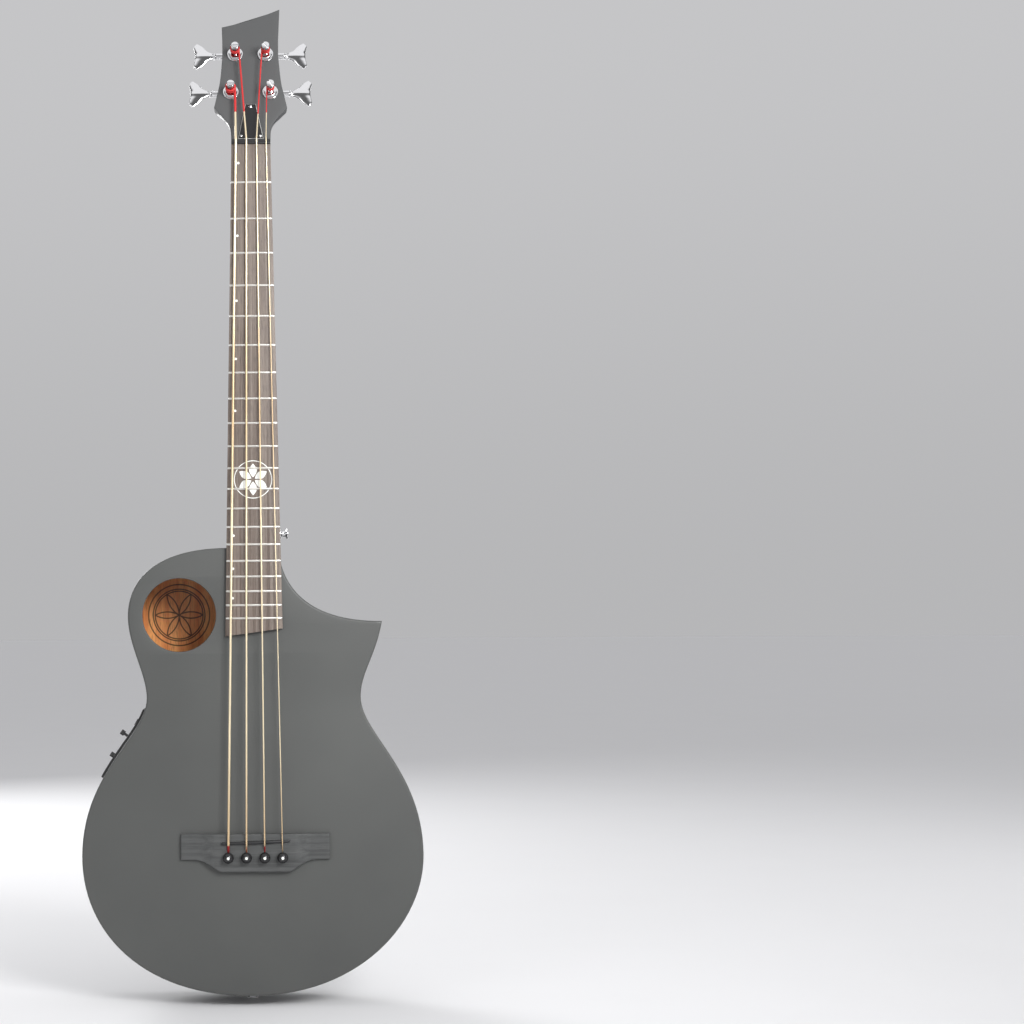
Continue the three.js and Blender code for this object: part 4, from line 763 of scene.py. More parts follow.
neck_lacquer = two_tone(
    "neck_two_tone_lacquer", (0.09, 0.092, 0.093), (0.021, 0.021, 0.022), 0.32
)
neck = build(
    "carved_neck",
    skin(
        np.concatenate([top_rings, head_rings, bend_rings, shaft_rings, heel_rings, cap_rings]),
        capped=True,
    ),
    [neck_lacquer],
    sharp=40,
)
fit(neck, "instrument", "neck_black", "neck")

# Heel cap: a thin plate sprayed charcoal like the body and glued over the end of the heel, its
# outer edge rounded. Pieces that meet stand apart by the CAD model's seat clearance.
SEAT = 0.3
HEEL_CAP_THICKNESS = 3.1

cap_turn = np.radians(np.linspace(0, 90, 20))
cap_end = HEEL_END - SEAT
cap_z = cap_end - (cap_end - HEEL_CAP_TOP) * np.cos(cap_turn)
cap_line = np.stack([-HEEL_CAP_HALF * np.sin(cap_turn), -cap_z], -1)
cap_outline = np.concatenate([cap_line, (cap_line * [-1, 1])[:0:-1]])
heel_back = GLUE_FACE + HEEL_DEPTH
heel_cap = build(
    "heel_cap_plate",
    plate(cap_outline, heel_back, heel_back + HEEL_CAP_THICKNESS, 0, 1.0),
    [charcoal],
)
fit(heel_cap, "instrument", "ebony", "heel_cap")

# Truss rod: a steel rod in a channel under the fingerboard, its nut under the cover. Like the
# strip under the saddle, they keep the shapes of their solids.


def metal(name, dark, light, rough, grain, bump):
    """Bare or plated metal: the cloudiness, speckle and texture of a lacquer, made metallic."""
    material = lacquer(name, dark, light, rough, grain, bump)
    material.node_tree.nodes["Principled BSDF"].inputs["Metallic"].default_value = 1
    return material


rod_steel = metal("rod_steel", (0.32, 0.32, 0.33), (0.42, 0.42, 0.43), 0.35, 1500, 0.05)
for name in ("truss_rod", "truss_rod_nut", "pickup_strip"):
    coat_node(name, rod_steel)

# Fingerboard: dark rosewood, 6.2 mm thick, crowned to a 305 mm radius, its end cut a little
# askew over the body.
BOARD_RADIUS = 305.0
BOARD_END_BASS = 541.6
BOARD_END_TREBLE = 533.2


def crown(x):
    """How far the board's face falls away behind its middle line."""
    return x * x / (2 * BOARD_RADIUS)


def board_end(x):
    """The board's slanted lower end."""
    return -BOARD_END_MIDDLE - (BOARD_END_TREBLE - BOARD_END_BASS) / BOARD_END_WIDTH * x


board_across = np.concatenate([[-1], np.linspace(-0.985, 0.985, 23), [1]])


def crowned_section(half, lift, ease):
    """A block's section in x and y: a face lifted over the board's crown, with both corners
    eased, and a flat foot on the level of the glue."""
    x = half * board_across
    y = crown(x) - lift
    y[[0, -1]] += ease
    return np.append(x, x[[-1, 0]]), np.append(y, [GLUE_FACE, GLUE_FACE])


board_rings = []
for row in np.linspace(0, 1, 60):
    x, y = crowned_section(board_half(BOARD_END_MIDDLE * row), 0, 0.45)
    board_rings.append(np.stack([x, y, (row - 1) * SEAT + row * board_end(x)], -1))
rosewood = wood(
    "dark_rosewood", (0.1, 0.071, 0.056), (0.25, 0.208, 0.178), 0.46, across=330, pores=0.45
)
fingerboard = build(
    "rosewood_board", skin(np.array(board_rings), capped=True), [rosewood], sharp=30
)
fit(fingerboard, "instrument", "rosewood", "fingerboard")

# Frets: twenty pieces of nickel silver wire, 2.4 mm wide and 1 mm high, hammered into the board
# and filed round at their ends.
SCALE_LENGTH = 762.0
FRET_HALF = 1.2
FRET_HEIGHT = 1.0
FRET_SUNK = 0.3

fret_metal = metal("nickel_silver", (0.8, 0.78, 0.73), (0.92, 0.9, 0.86), 0.34, 2500, 0.03)


def fret_at(number):
    """The height of a fret: the scale length shortened by a twelfth root of two each."""
    return SCALE_LENGTH * (2 ** (-number / 12) - 1)


fret_parts = []
bead = np.radians(np.linspace(0, 180, 13))
fret_shares = np.sin(np.radians(np.linspace(-90, 90, 25)))
for number in range(1, 21):
    z = fret_at(number)
    x = (board_half(-z) - 0.05) * fret_shares
    shrink = np.sqrt(np.clip(1 - np.abs(fret_shares) ** 40, 0, 1))[:, None]
    along = FRET_HALF * np.cos(bead) * (0.75 + 0.25 * shrink)
    arch = (FRET_HEIGHT + FRET_SUNK) * np.sin(bead) ** 0.8 * shrink
    height = crown(x)[:, None] + FRET_SUNK - arch
    points = np.stack([np.broadcast_to(x[:, None], height.shape), height, z + along], -1)
    fret_parts += skin(points, capped=True)
frets = build("fret_wires", fret_parts, [fret_metal], sharp=50)
fit(frets, "instrument", "steel", "fingerboard")

# Inlays: small dots of pearl beside the lowest string, drifting out as the board widens, and a
# ring with six petals around the twelfth fret, all let in flush with the board.
DOT_RADIUS = 1.45
DOT_X = -13.6
DOT_DRIFT = 0.0188
DOTTED_FRETS = (1, 3, 5, 7, 9, 15, 17, 19)
FLOWER_MIDDLE = -370.8
FLOWER_RADIUS = 20.4
PETAL_START = 2.2
PETAL_LENGTH = 15.2
PETAL_HALF = 4.1
RING_HALF = 0.45
INLAY_LIFT = 0.04
INLAY_DEPTH = 0.8


def pearl_shell(name):
    """Polished shell: cells of slightly different pale tints under a clear coat."""
    material, tree, surface, place = new_finish(name)
    cells = clouds(tree, place, 420, distortion=1.5)
    tints = (0, (0.78, 0.82, 0.82)), (0.5, (0.9, 0.92, 0.88)), (1, (0.97, 0.94, 0.9))
    tree.links.new(tinted(tree, cells, *tints), surface["Base Color"])
    tree.links.new(mapped(tree, cells, 0, 1, 0.15, 0.35), surface["Roughness"])
    surface["Coat Weight"].default_value = 0.6
    return material


def inlaid(x, z):
    """The points of a patch given by grids of x and z: on the crowned board, and sunk in it."""
    face = np.stack([x, crown(x) - INLAY_LIFT, z], -1)
    sunk = np.stack([x, crown(x) + INLAY_DEPTH, z], -1)
    return face, sunk


def round_patch(radii, middle, sides):
    """Rings of the radii given about a middle, on the crowned board and sunk in it."""
    angle = np.linspace(0, 2 * np.pi, sides, endpoint=False)
    radii = np.array(radii)[:, None]
    return inlaid(middle[0] + radii * np.cos(angle), middle[1] + radii * np.sin(angle))


pearl = pearl_shell("pearl_shell_inlay")
inlay_parts = []
for number in DOTTED_FRETS:
    z = (fret_at(number) + fret_at(number - 1)) / 2
    middle = (DOT_X + DOT_DRIFT * z, z)
    face, sunk = round_patch([DOT_RADIUS, DOT_RADIUS / 2, 0], middle, 24)
    inlay_parts += skin(np.concatenate([sunk[2:], sunk[:1], face]))
ring_radii = [FLOWER_RADIUS + RING_HALF, FLOWER_RADIUS - RING_HALF]
face, sunk = round_patch(ring_radii, (0, FLOWER_MIDDLE), 120)
inlay_parts += skin(np.array([sunk[0], face[0], face[1], sunk[1], sunk[0]]))
along = np.linspace(0, 1, 25)[:, None]
across = np.concatenate([np.linspace(-1, 1, 9), np.linspace(1, -1, 9)[1:-1]])
for angle in np.radians(np.arange(0, 360, 60) + 30):
    out = PETAL_START + PETAL_LENGTH * along
    side = PETAL_HALF * np.sin(np.pi * along) * across
    x = out * np.cos(angle) - side * np.sin(angle)
    z = FLOWER_MIDDLE + out * np.sin(angle) + side * np.cos(angle)
    face, sunk = inlaid(x, z)
    points = face.copy()
    points[:, 9:] = sunk[:, 9:]
    inlay_parts += skin(points)
inlays = build("pearl_inlays", inlay_parts, [pearl])
fit(inlays, "instrument", "spruce")

# Nut: a block of black composite across the end of the board, filed down behind, with a round
# slot under each string.
STRINGS = {
    "e": {"nut": -16.6, "bridge": -29.3, "gauge": 2.6, "side": -1, "row": 0, "turns": 2.5},
    "a": {"nut": -5.0, "bridge": -9.7, "gauge": 2.0, "side": -1, "row": 1, "turns": 2.5},
    "d": {"nut": 6.3, "bridge": 10.0, "gauge": 1.6, "side": 1, "row": 1, "turns": 3.0},
    "g": {"nut": 16.8, "bridge": 29.3, "gauge": 1.15, "side": 1, "row": 0, "turns": 3.5},
}
BRIDGE_TOP = -2.4
SADDLE_AT = 763.4
SADDLE_SLANT = 0.035
SADDLE_THICKNESS = 3.0
SADDLE_LIFT = 5.2
PIN_Z = -779.4
PIN_HEAD = 6.0
PIN_HEAD_Y = BRIDGE_TOP - 3.6
PIN_SHANK = 3.0
RUNNING = 0.35
STRING_CLEAR = 0.5


def nut_point(string):
    """Where a string's axis crosses the front edge of the nut."""
    lift = FRET_HEIGHT + STRING_CLEAR + string["gauge"] / 2
    return np.array((string["nut"], crown(string["nut"]) - lift, 0))


def spread(string, z):
    """The x of a string at a height: it runs straight from its place at the nut to its pin."""
    return string["nut"] + (string["bridge"] - string["nut"]) * z / PIN_Z


def saddle_point(string):
    """Where a string's axis turns down, just behind the saddle."""
    slant = SADDLE_SLANT * spread(string, -SADDLE_AT)
    z = -SADDLE_AT + slant - SADDLE_THICKNESS / 2 - SEAT
    x = spread(string, z)
    return np.array((x, crown(x) - FRET_HEIGHT - SADDLE_LIFT - string["gauge"] / 2, z))


def string_at(string, z):
    """A point of the straight run from saddle to nut, at a height."""
    low, high = saddle_point(string), nut_point(string)
    return low + (high - low) * (z - low[2]) / (high[2] - low[2])


def tube(path, radius, sides):
    """Circles across a path. Each is turned as little as can be from the one before, by taking
    out of its side direction what lies along the path. Its ends are closed flat."""
    path = np.array(path, float)
    radius = np.broadcast_to(radius, len(path))
    way = np.gradient(path, axis=0)
    way = way / np.linalg.norm(way, axis=1, keepdims=True)
    side = np.cross(way[0], (0.3, 1, 0.2))
    sides_of = []
    for along in way:
        side = side - along * side.dot(along)
        side = side / np.linalg.norm(side)
        sides_of.append(side)
    sides_of = np.array(sides_of)
    other = np.cross(way, sides_of)
    angle = np.linspace(0, 2 * np.pi, sides, endpoint=False)
    circles = (
        path[:, None]
        + radius[:, None, None] * np.cos(angle)[:, None] * sides_of[:, None]
        + radius[:, None, None] * np.sin(angle)[:, None] * other[:, None]
    )
    return skin(circles, capped=True)


def worked(piece, operation, tool):
    """Joins a solid to a piece, or cuts it out, and takes the solid away. Points that land
    within a fifth of a micron are merged, which closes the slivers along the seam, and a face
    that is lost there is put back."""
    step = piece.modifiers.new("step", "BOOLEAN")
    step.operation = operation
    step.solver = "EXACT"
    step.object = tool
    graph = bpy.context.evaluated_depsgraph_get()
    made = bpy.data.meshes.new_from_object(piece.evaluated_get(graph))
    work = bmesh.new()
    work.from_mesh(made)
    bmesh.ops.remove_doubles(work, verts=work.verts, dist=2e-7)
    bmesh.ops.dissolve_degenerate(work, edges=work.edges, dist=2e-7)
    bmesh.ops.holes_fill(work, edges=work.edges, sides=8)
    work.to_mesh(made)
    work.free()
    piece.modifiers.clear()
    piece.data = made
    bpy.data.objects.remove(tool)


def carve(piece, cutters, sharp=35):
    """Cuts the solids given out of a piece, one after the other."""
    for cutter in cutters:
        worked(piece, "DIFFERENCE", cutter)
    piece.data.set_sharp_from_angle(angle=np.radians(sharp))
    return piece


black_composite = lacquer(
    "black_composite", (0.016, 0.016, 0.017), (0.026, 0.026, 0.028), 0.32, 1800, 0.03
)


def groove_cutter(start, end, reach, height):
    """A bar to cut a groove with: half a circle below a line and straight sides above it."""
    bow = np.radians(np.linspace(0, 180, 13))
    x = np.append(reach * np.cos(bow), [-reach, reach])
    y = np.append(reach * np.sin(bow), [-height, -height])
    section = np.stack([x, y, 0 * x], -1)
    return build("groove_cutter", skin(np.array([section + start, section + end]), capped=True), [])


nut_rings = []
for z, lift in ((0, 2.2), (0.3, 2.3), (1.5, 2.2), (3.4, 1.7), (5.1, 1.1), (5.5, 0.6)):
    x, y = crowned_section(NUT_WIDTH / 2, lift, 0.4)
    nut_rings.append(np.stack([x, y, 0 * x + z], -1))
nut = build("string_nut", skin(np.array(nut_rings), capped=True), [black_composite])
nut_slots = [
    groove_cutter(string_at(string, -4), string_at(string, 10), string["gauge"] / 2 + 0.12, 9)
    for string in STRINGS.values()
]
fit(carve(nut, nut_slots), "instrument", "ebony", "nut")

# Bridge: one block glued to the soundboard, with scooped wings, a deeper belly behind the pins,
# and a slot for the saddle. It is stained black, so that its grain barely shows.
BRIDGE_HALF = 80.5
BRIDGE_HIGH = -754.6
WING_LOW = -782.2
BELLY_LOW = -795.0
BELLY_HALF = 36.0
OGEE_RUN = 31.0
WING_THICKNESS = 4.2
WING_START = 42.0
BRIDGE_EDGE = 0.9
SADDLE_HALF = 37.0
SLOT_ROOM = 0.15


def moulding(path, across, out, low, high, base, top, edge, flat=9, steps=5):
    """A bar along a path whose section is a rectangle from low to high across it and from base
    to top out of it, with quarter circles on its two outer edges. The ends are closed flat."""
    angle = np.radians(np.linspace(0, 90, steps + 1))
    n = len(path)
    low, high, base, top, edge = (
        np.broadcast_to(v, n)[:, None] for v in (low, high, base, top, edge)
    )
    span = np.linspace(0, 1, flat)[1:-1]
    a = np.concatenate(
        [
            low,
            low + edge * (1 - np.cos(angle)),
            low + edge + (high - low - 2 * edge) * span,
            high - edge * (1 - np.cos(angle[::-1])),
            high,
        ],
        1,
    )
    h = np.concatenate(
        [
            base,
            top - edge * (1 - np.sin(angle)),
            np.broadcast_to(top, (n, flat - 2)),
            top - edge * (1 - np.sin(angle[::-1])),
            base,
        ],
        1,
    )
    path, across, out = (np.broadcast_to(v, (n, 3))[:, None] for v in (path, across, out))
    return skin(path + a[..., None] * across + h[..., None] * out, capped=True)


def end_drop(distance, edge):
    """How far a top has fallen at a distance from an end that is rounded by a quarter circle."""
    inside = np.clip(edge - distance, 0, edge)
    return edge - np.sqrt(edge * edge - inside * inside)


t = np.linspace(0, 1, 60)
ogee_x = BELLY_HALF + OGEE_RUN * (1 - 1.35 * t * (1 - t) ** 2 - 2.4 * t**2 * (1 - t) - t**3)
ogee_z = WING_LOW + (BELLY_LOW - WING_LOW) * (2.76 * t**2 * (1 - t) + t**3)
bridge_x = np.unique(
    np.concatenate(
        [
            BRIDGE_HALF - (1 - np.cos(np.radians(np.linspace(0, 90, 7)))),
            np.linspace(0, 79.5, 34),
            np.linspace(BELLY_HALF - 1, BELLY_HALF + OGEE_RUN + 1, 34),
        ]
    )
)
bridge_x = np.concatenate([-bridge_x[:0:-1], bridge_x])
reach = np.abs(bridge_x)
bridge_low = np.interp(reach, ogee_x[::-1], ogee_z[::-1])
wing_share = np.clip((reach - WING_START) / ((BRIDGE_HALF - WING_START) / 2), 0, 1)
fall = (1 - np.cos(np.pi * wing_share)) / 2
bridge_y = BRIDGE_TOP + (GLUE_FACE - SEAT - BRIDGE_TOP - WING_THICKNESS) * fall
bridge_y = bridge_y + end_drop(BRIDGE_HALF - reach, 1.0)
bridge_wood = wood(
    "black_stained_bridge",
    (0.05, 0.052, 0.052),
    (0.095, 0.098, 0.097),
    0.42,
    (0, np.pi / 2, 0),
    across=300,
    pores=0.25,
)
bridge = build(
    "bridge_block",
    moulding(
        np.stack([bridge_x, 0 * bridge_x, 0 * bridge_x], -1),
        (0, 0, 1),
        (0, -1, 0),
        bridge_low,
        BRIDGE_HIGH,
        -GLUE_FACE,
        -bridge_y,
        BRIDGE_EDGE,
        flat=13,
    ),
    [bridge_wood],
)


def spin(profile, place, sides=48, finish=0, flutes=0, flute_depth=0.0):
    """A profile of radius and height turned about the z axis of its frame. Flutes draw the
    radius in by a cosine of the angle."""
    profile = np.array(profile, float)
    angle = np.linspace(0, 2 * np.pi, sides, endpoint=False)
    radius = profile[:, :1] * (1 - flute_depth * (1 + np.cos(flutes * angle)) / 2)
    height = np.broadcast_to(profile[:, 1:], radius.shape)
    points = np.stack([radius * np.cos(angle), radius * np.sin(angle), height], -1)
    return skin(placed(points, place), finish)


def backwards_from(x, y, z):
    """A frame whose z axis runs from the front to the back of the instrument."""
    return np.array([(1, 0, 0), (0, 0, 1), (0, 1, 0), (x, y, z)], float)


def box_part(low, high, place):
    """A block between two corners of its frame."""
    corners = [(low[0], low[1]), (high[0], low[1]), (high[0], high[1]), (low[0], high[1])]
    rings = np.array([[(x, y, z) for x, y in corners] for z in (low[2], high[2])], float)
    return skin(placed(rings, place), capped=True)


saddle_lean = np.arctan(SADDLE_SLANT)
saddle_frame = np.array(
    [
        (np.cos(saddle_lean), 0, np.sin(saddle_lean)),
        (0, 1, 0),
        (-np.sin(saddle_lean), 0, np.cos(saddle_lean)),
        (0, 0, -SADDLE_AT),
    ]
)


def capsule(half, radius, steps=12):
    """A long outline with round ends, in x and z of its frame."""
    angle = np.radians(np.linspace(-90, 90, steps + 1))
    right = np.stack([half - radius + radius * np.cos(angle), radius * np.sin(angle)], -1)
    return np.concatenate([right, -right])


slot_line = capsule(SADDLE_HALF + 0.6, SADDLE_THICKNESS / 2 + SLOT_ROOM)
slot_rings = np.array(
    [np.insert(slot_line, 1, y, axis=1) for y in (BRIDGE_TOP - 3, BRIDGE_TOP + 6.8)]
)
bridge_cutters = [build("slot_cutter", skin(placed(slot_rings, saddle_frame), capped=True), [])]
hole = [(0, -12), (PIN_SHANK + 0.9, -12), (PIN_SHANK + 0.9, BRIDGE_TOP)]
hole += [(PIN_SHANK + 0.2, BRIDGE_TOP + 0.9), (PIN_SHANK + 0.2, 9), (0, 9)]
for string in STRINGS.values():
    x = string["bridge"]
    pin_hole = spin(hole, backwards_from(x, 0, PIN_Z), 32)
    bridge_cutters.append(build("pin_hole_cutter", pin_hole, []))
    foot = np.array((x, PIN_HEAD_Y + 4.6, PIN_Z + PIN_SHANK - 0.5))
    ramp = groove_cutter(foot, saddle_point(string), string["gauge"] / 2 + 0.2, 12)
    bridge_cutters.append(ramp)
fit(carve(bridge, bridge_cutters), "instrument", "ebony", "bridge")

# Saddle: a thin black blade in the bridge's slot, crowned like the board, rounded along its top
# and at its ends. It leans across the strings so that the thick ones are a little longer.
saddle_x = SADDLE_HALF * np.sin(np.radians(np.linspace(-90, 90, 61)))
saddle_round = SADDLE_THICKNESS / 2
saddle_ends = np.clip(np.abs(saddle_x) - (SADDLE_HALF - saddle_round), 0, saddle_round)
saddle_half = np.sqrt(np.clip(saddle_round**2 - saddle_ends**2, 0.01, None))


def placed_parts(parts, place):
    """Parts of one frame carried into another."""
    return [(placed(p, place), faces, finish, smooth) for p, faces, finish, smooth in parts]


blade = moulding(
    np.stack([saddle_x, 0 * saddle_x, 0 * saddle_x], -1),
    (0, 0, 1),
    (0, -1, 0),
    -saddle_half,
    saddle_half,
    -(BRIDGE_TOP + 5),
    -(crown(saddle_x) - FRET_HEIGHT - SADDLE_LIFT + SEAT),
    0.95 * saddle_half,
    flat=4,
    steps=7,
)
saddle = build("saddle_blade", placed_parts(blade, saddle_frame), [black_composite])
fit(saddle, "instrument", "ebony", "saddle")

# Bridge pins: turned black pins with a ball head and a pearl dot, pushed in beside the string's
# end. Each pulls straight out.
PIN_DOT_RADIUS = 1.55
PIN_LENGTH = 24.0

pin_gloss = lacquer(
    "pin_gloss_black", (0.01, 0.01, 0.011), (0.016, 0.016, 0.017), 0.14, 900, 0.01
)


def ball_arc(start, end, count):
    """Radius and height of points on the pin's ball, between two angles below its widest place."""
    turns = np.radians(np.linspace(start, end, count))
    return np.stack([PIN_HEAD * np.cos(turns), PIN_HEAD_Y + PIN_HEAD * np.sin(turns)], -1)


dot_edge = np.degrees(np.arccos(PIN_DOT_RADIUS / PIN_HEAD))
pin_dot = ball_arc(-90, -dot_edge, 8)
pin_dot[0, 0] = 0
ball = ball_arc(-dot_edge, np.degrees(np.arccos(PIN_SHANK / PIN_HEAD)), 28)
shank = [
    (PIN_SHANK, ball[-1, 1] + 4),
    (2.4, PIN_HEAD_Y + PIN_LENGTH - 0.3),
    (2.1, PIN_HEAD_Y + PIN_LENGTH),
    (0, PIN_HEAD_Y + PIN_LENGTH),
]
pin_body = np.concatenate([ball, shank])
for name, string in STRINGS.items():
    place = backwards_from(string["bridge"], 0, PIN_Z)
    pin = build(
        f"turned_pin_{name}",
        spin(pin_dot, place, 40, 1) + spin(pin_body, place, 40),
        [pin_gloss, pearl],
        sharp=50,
    )
    fit(pin, f"pin_{name}", "gloss_black", f"bridge_pin_{name}")

# Strings: phosphor bronze wound on a steel core, from 2.6 to 1.15 mm. Each starts as a ball under
# the bridge plate, runs over saddle and nut, and winds on its post. Both ends are red silk.
TUNER_ROWS = ((22.0, 59.9), (17.0, 108.1))
POST_RADIUS = 3.0
CAP_HEIGHT = 20.5
PLATE_BACK = 12.5
NUT_BACK = 5.8
BALL_RADIUS = 2.2
BEND = 2.2
SILK_ABOVE = {"e": 38.0, "a": 37.0, "d": 34.0, "g": 36.0}
SILK_BELOW = {"e": -766.5, "a": -771.5, "d": -769.5, "g": -772.5}


def ramp_foot(string):
    """Where a string leaves its pin hole."""
    clear = PIN_HEAD + string["gauge"] / 2 + SEAT
    below_head = np.sqrt(clear * clear - PIN_SHANK * PIN_SHANK)
    return np.array((string["bridge"], PIN_HEAD_Y + below_head, PIN_Z + PIN_SHANK))


def winding(string, per_turn=36):
    """Turns about the post, climbing towards its cap: a circle whose height grows evenly with
    the angle, begun where the straight run from the nut touches it."""
    radius = string["gauge"] / 2
    x, at = TUNER_ROWS[string["row"]]
    centre = np.array((string["side"] * x, at))
    away = POST_RADIUS + RUNNING + radius
    start = (string_at(string, NUT_BACK) - head_frame[3]) @ head_frame[:3].T
    towards = centre - start[[0, 2]]
    first = np.arctan2(towards[1], towards[0]) + string["side"] * (
        np.arcsin(away / np.linalg.norm(towards)) + np.pi / 2
    )
    turns = np.linspace(0, string["turns"], int(string["turns"] * per_turn) + 1)
    angle = first - string["side"] * 2 * np.pi * turns
    top = CAP_HEIGHT - 4.5 - RUNNING - radius
    height = top - (string["gauge"] + 0.5) * (string["turns"] - turns)
    local = np.stack(
        [centre[0] + away * np.cos(angle), -height, centre[1] + away * np.sin(angle)], -1
    )
    return placed(local, head_frame)


def eased(corners, radius, steps=8):
    """Straight runs joined by short curves: each corner becomes a quadratic curve between the
    two places a radius away from it."""
    points = [corners[0]]
    for before, corner, after in zip(corners[:-2], corners[1:-1], corners[2:]):
        back = before - corner
        on = after - corner
        reach_back = min(radius, 0.45 * np.linalg.norm(back))
        reach_on = min(radius, 0.45 * np.linalg.norm(on))
        a = corner + back / np.linalg.norm(back) * reach_back
        b = corner + on / np.linalg.norm(on) * reach_on
        t = np.linspace(0, 1, steps + 1)[:, None]
        points.extend((1 - t) ** 2 * a + 2 * t * (1 - t) * corner + t * t * b)
    points.append(corners[-1])
    return np.array(points)


def wound_wire(name, dark, light, pitch, metallic, rough):
    """Wire: waves of gloss and height along the string's own length, read from its UV map, with the
    tone darkened where the same wave sinks the surface: painted shade in the troughs. The pitch is
    in the map's metres, so these waves are slow and don't draw single winds."""
    material, tree, surface, _ = new_finish(name)
    surface["Metallic"].default_value = metallic
    winds = tree.nodes.new("ShaderNodeTexWave")
    winds.inputs["Scale"].default_value = 0.314 / pitch
    winds.inputs["Distortion"].default_value = 0
    tree.links.new(tree.nodes.new("ShaderNodeUVMap").outputs["UV"], winds.inputs["Vector"])
    crest = winds.outputs["Fac"]
    # The tone is darker where the same wave sinks the surface: painted shade in the troughs.
    tree.links.new(tinted(tree, crest, (0, dark), (0.6, light)), surface["Base Color"])
    tree.links.new(mapped(tree, crest, 0, 1, rough + 0.15, rough), surface["Roughness"])
    textured(tree, crest, 0.4, 0.0001)
    return material


def points_of(mesh):
    """A mesh's points, in millimetres."""
    points = np.empty(3 * len(mesh.vertices))
    mesh.vertices.foreach_get("co", points)
    return points.reshape(-1, 3) / MM


def map_along(mesh, path):
    """A UV map that holds the distance along a path, in metres, at the path's nearest point."""
    steps = np.linalg.norm(np.diff(path, axis=0), axis=1)
    lengths = np.concatenate([[0], np.cumsum(steps)])
    away = np.linalg.norm(points_of(mesh)[:, None] - path[None], axis=2)
    corners = np.empty(len(mesh.loops), np.int32)
    mesh.loops.foreach_get("vertex_index", corners)
    along = (lengths[np.argmin(away, axis=1)] * MM)[corners]
    uv = mesh.uv_layers.new(name="along_string")
    uv.data.foreach_set("uv", np.stack([along, 0 * along], -1).ravel())


def denser(path, at, count):
    """A path with points put in along the straight piece that ends at one of its points."""
    filled = np.linspace(path[at - 1], path[at], count)[1:-1]
    return np.concatenate([path[:at], filled, path[at:]])


bronze_wire = wound_wire("bronze_windings", (0.68, 0.5, 0.3), (1, 0.86, 0.6), 0.5, 0.7, 0.34)
red_silk = wound_wire("red_silk", (0.28, 0.012, 0.012), (0.6, 0.03, 0.03), 0.35, 0, 0.6)
for name, string in STRINGS.items():
    foot = ramp_foot(string)
    knee = np.array((foot[0], PLATE_BACK + SEAT + string["gauge"] / 4, foot[2]))
    down = np.array((0, 1, 1)) / np.sqrt(2)
    over_saddle, behind_nut = saddle_point(string), string_at(string, NUT_BACK)
    turns = winding(string)
    path = eased([knee + 1.6 * down, knee, foot, over_saddle, behind_nut, turns[0]], BEND)
    path = np.concatenate([path, turns[1:]])
    path = denser(path, int(np.argmax(path[:, 2] > over_saddle[2] + 1)), 120)
    path = denser(path, int(np.argmax(path[:, 2] > turns[0][2] - 0.5)), 40)
    ball_turns = np.radians(np.linspace(-90, 90, 13))
    ball_radius = BALL_RADIUS * np.clip(np.cos(ball_turns), 1e-9, 1)
    ball_profile = np.stack([ball_radius, BALL_RADIUS * np.sin(ball_turns)], -1)
    ball_frame = np.array([(1, 0, 0), np.cross(down, (1, 0, 0)), down, knee + 3.1 * down])
    piece = build(
        f"wound_string_{name}",
        tube(path, string["gauge"] / 2, 16) + spin(ball_profile, ball_frame, 24),
        [bronze_wire, red_silk],
        sharp=60,
    )
    mesh = piece.data
    map_along(mesh, path)
    middles = np.empty(3 * len(mesh.polygons))
    mesh.polygons.foreach_get("center", middles)
    height = middles.reshape(-1, 3)[:, 2] / MM
    silk = (height > SILK_ABOVE[name]) | (height < SILK_BELOW[name])
    mesh.polygons.foreach_set("material_index", silk.astype(np.int32))
    fit(piece, "instrument", "bronze", f"string_{name}")

# Truss rod cover: gloss black over white, cut as a tapered plate whose bevel shows the white
# layer, and held by three small screws.
white_layer = lacquer("white_layer", (0.68, 0.68, 0.66), (0.76, 0.76, 0.74), 0.35, 900, 0.01)
cover_corners = np.array([(-14.4, 0.6), (14.4, 0.6), (6, 44.6), (-6, 44.6)])
cover_steps = ((0, 0), (0, 1.4), (0.25, 1.65), (0.75, 2.15), (1.0, 2.5))
cover_rings = np.array(
    [
        placed(np.insert(inset(cover_corners, drawn), 1, -height, axis=1), head_frame)
        for drawn, height in cover_steps
    ]
)
cover = build(
    "rod_cover_plate",
    skin(cover_rings[:3])
    + skin(cover_rings[2:4], 1)
    + skin(cover_rings[3:])
    + [(end, [[0, 1, 2, 3]], 0, False) for end in (cover_rings[-1], cover_rings[0])],
    [pin_gloss, white_layer],
)
fit(cover, "instrument", "gloss_black", "truss_rod_cover")

chrome = metal(
    "polished_chrome", (0.8084, 0.8084, 0.8084), (0.86, 0.86, 0.8772), 0.1, 600, 0.006
)


def forwards_on_head(x, z, height):
    """A frame on the headstock's face whose z axis points out of its front."""
    origin = placed(np.array((x, -height, z), float), head_frame)
    return np.array([head_frame[0], -head_frame[2], -head_frame[1], origin])


def screw_head(place, radius, height, rings=14, sides=48):
    """A domed head with a crossed slot: a polar grid whose height is a dome, less a smooth trough
    along two lines at right angles."""
    r = radius * np.sin(np.radians(np.linspace(0, 90, rings)))[::-1, None]
    angle = np.linspace(0, 2 * np.pi, sides, endpoint=False)
    x, y = r * np.cos(angle), r * np.sin(angle)
    dome = height * np.sqrt(np.clip(1 - 0.92 * (r / radius) ** 2, 0, 1))
    arm = 0.16 * radius
    cross = np.maximum(np.exp(-((x / arm) ** 4)), np.exp(-((y / arm) ** 4)))
    cross = cross * (r < 0.68 * radius)
    z = dome - 0.45 * height * cross
    top = np.stack([x, y, z], -1)
    foot = top[:1] * [1, 1, 0] - [0, 0, 0.6]
    points = placed(np.concatenate([foot, top]), place)
    return skin(points) + [(points[0], [list(range(sides))], 0, False)]


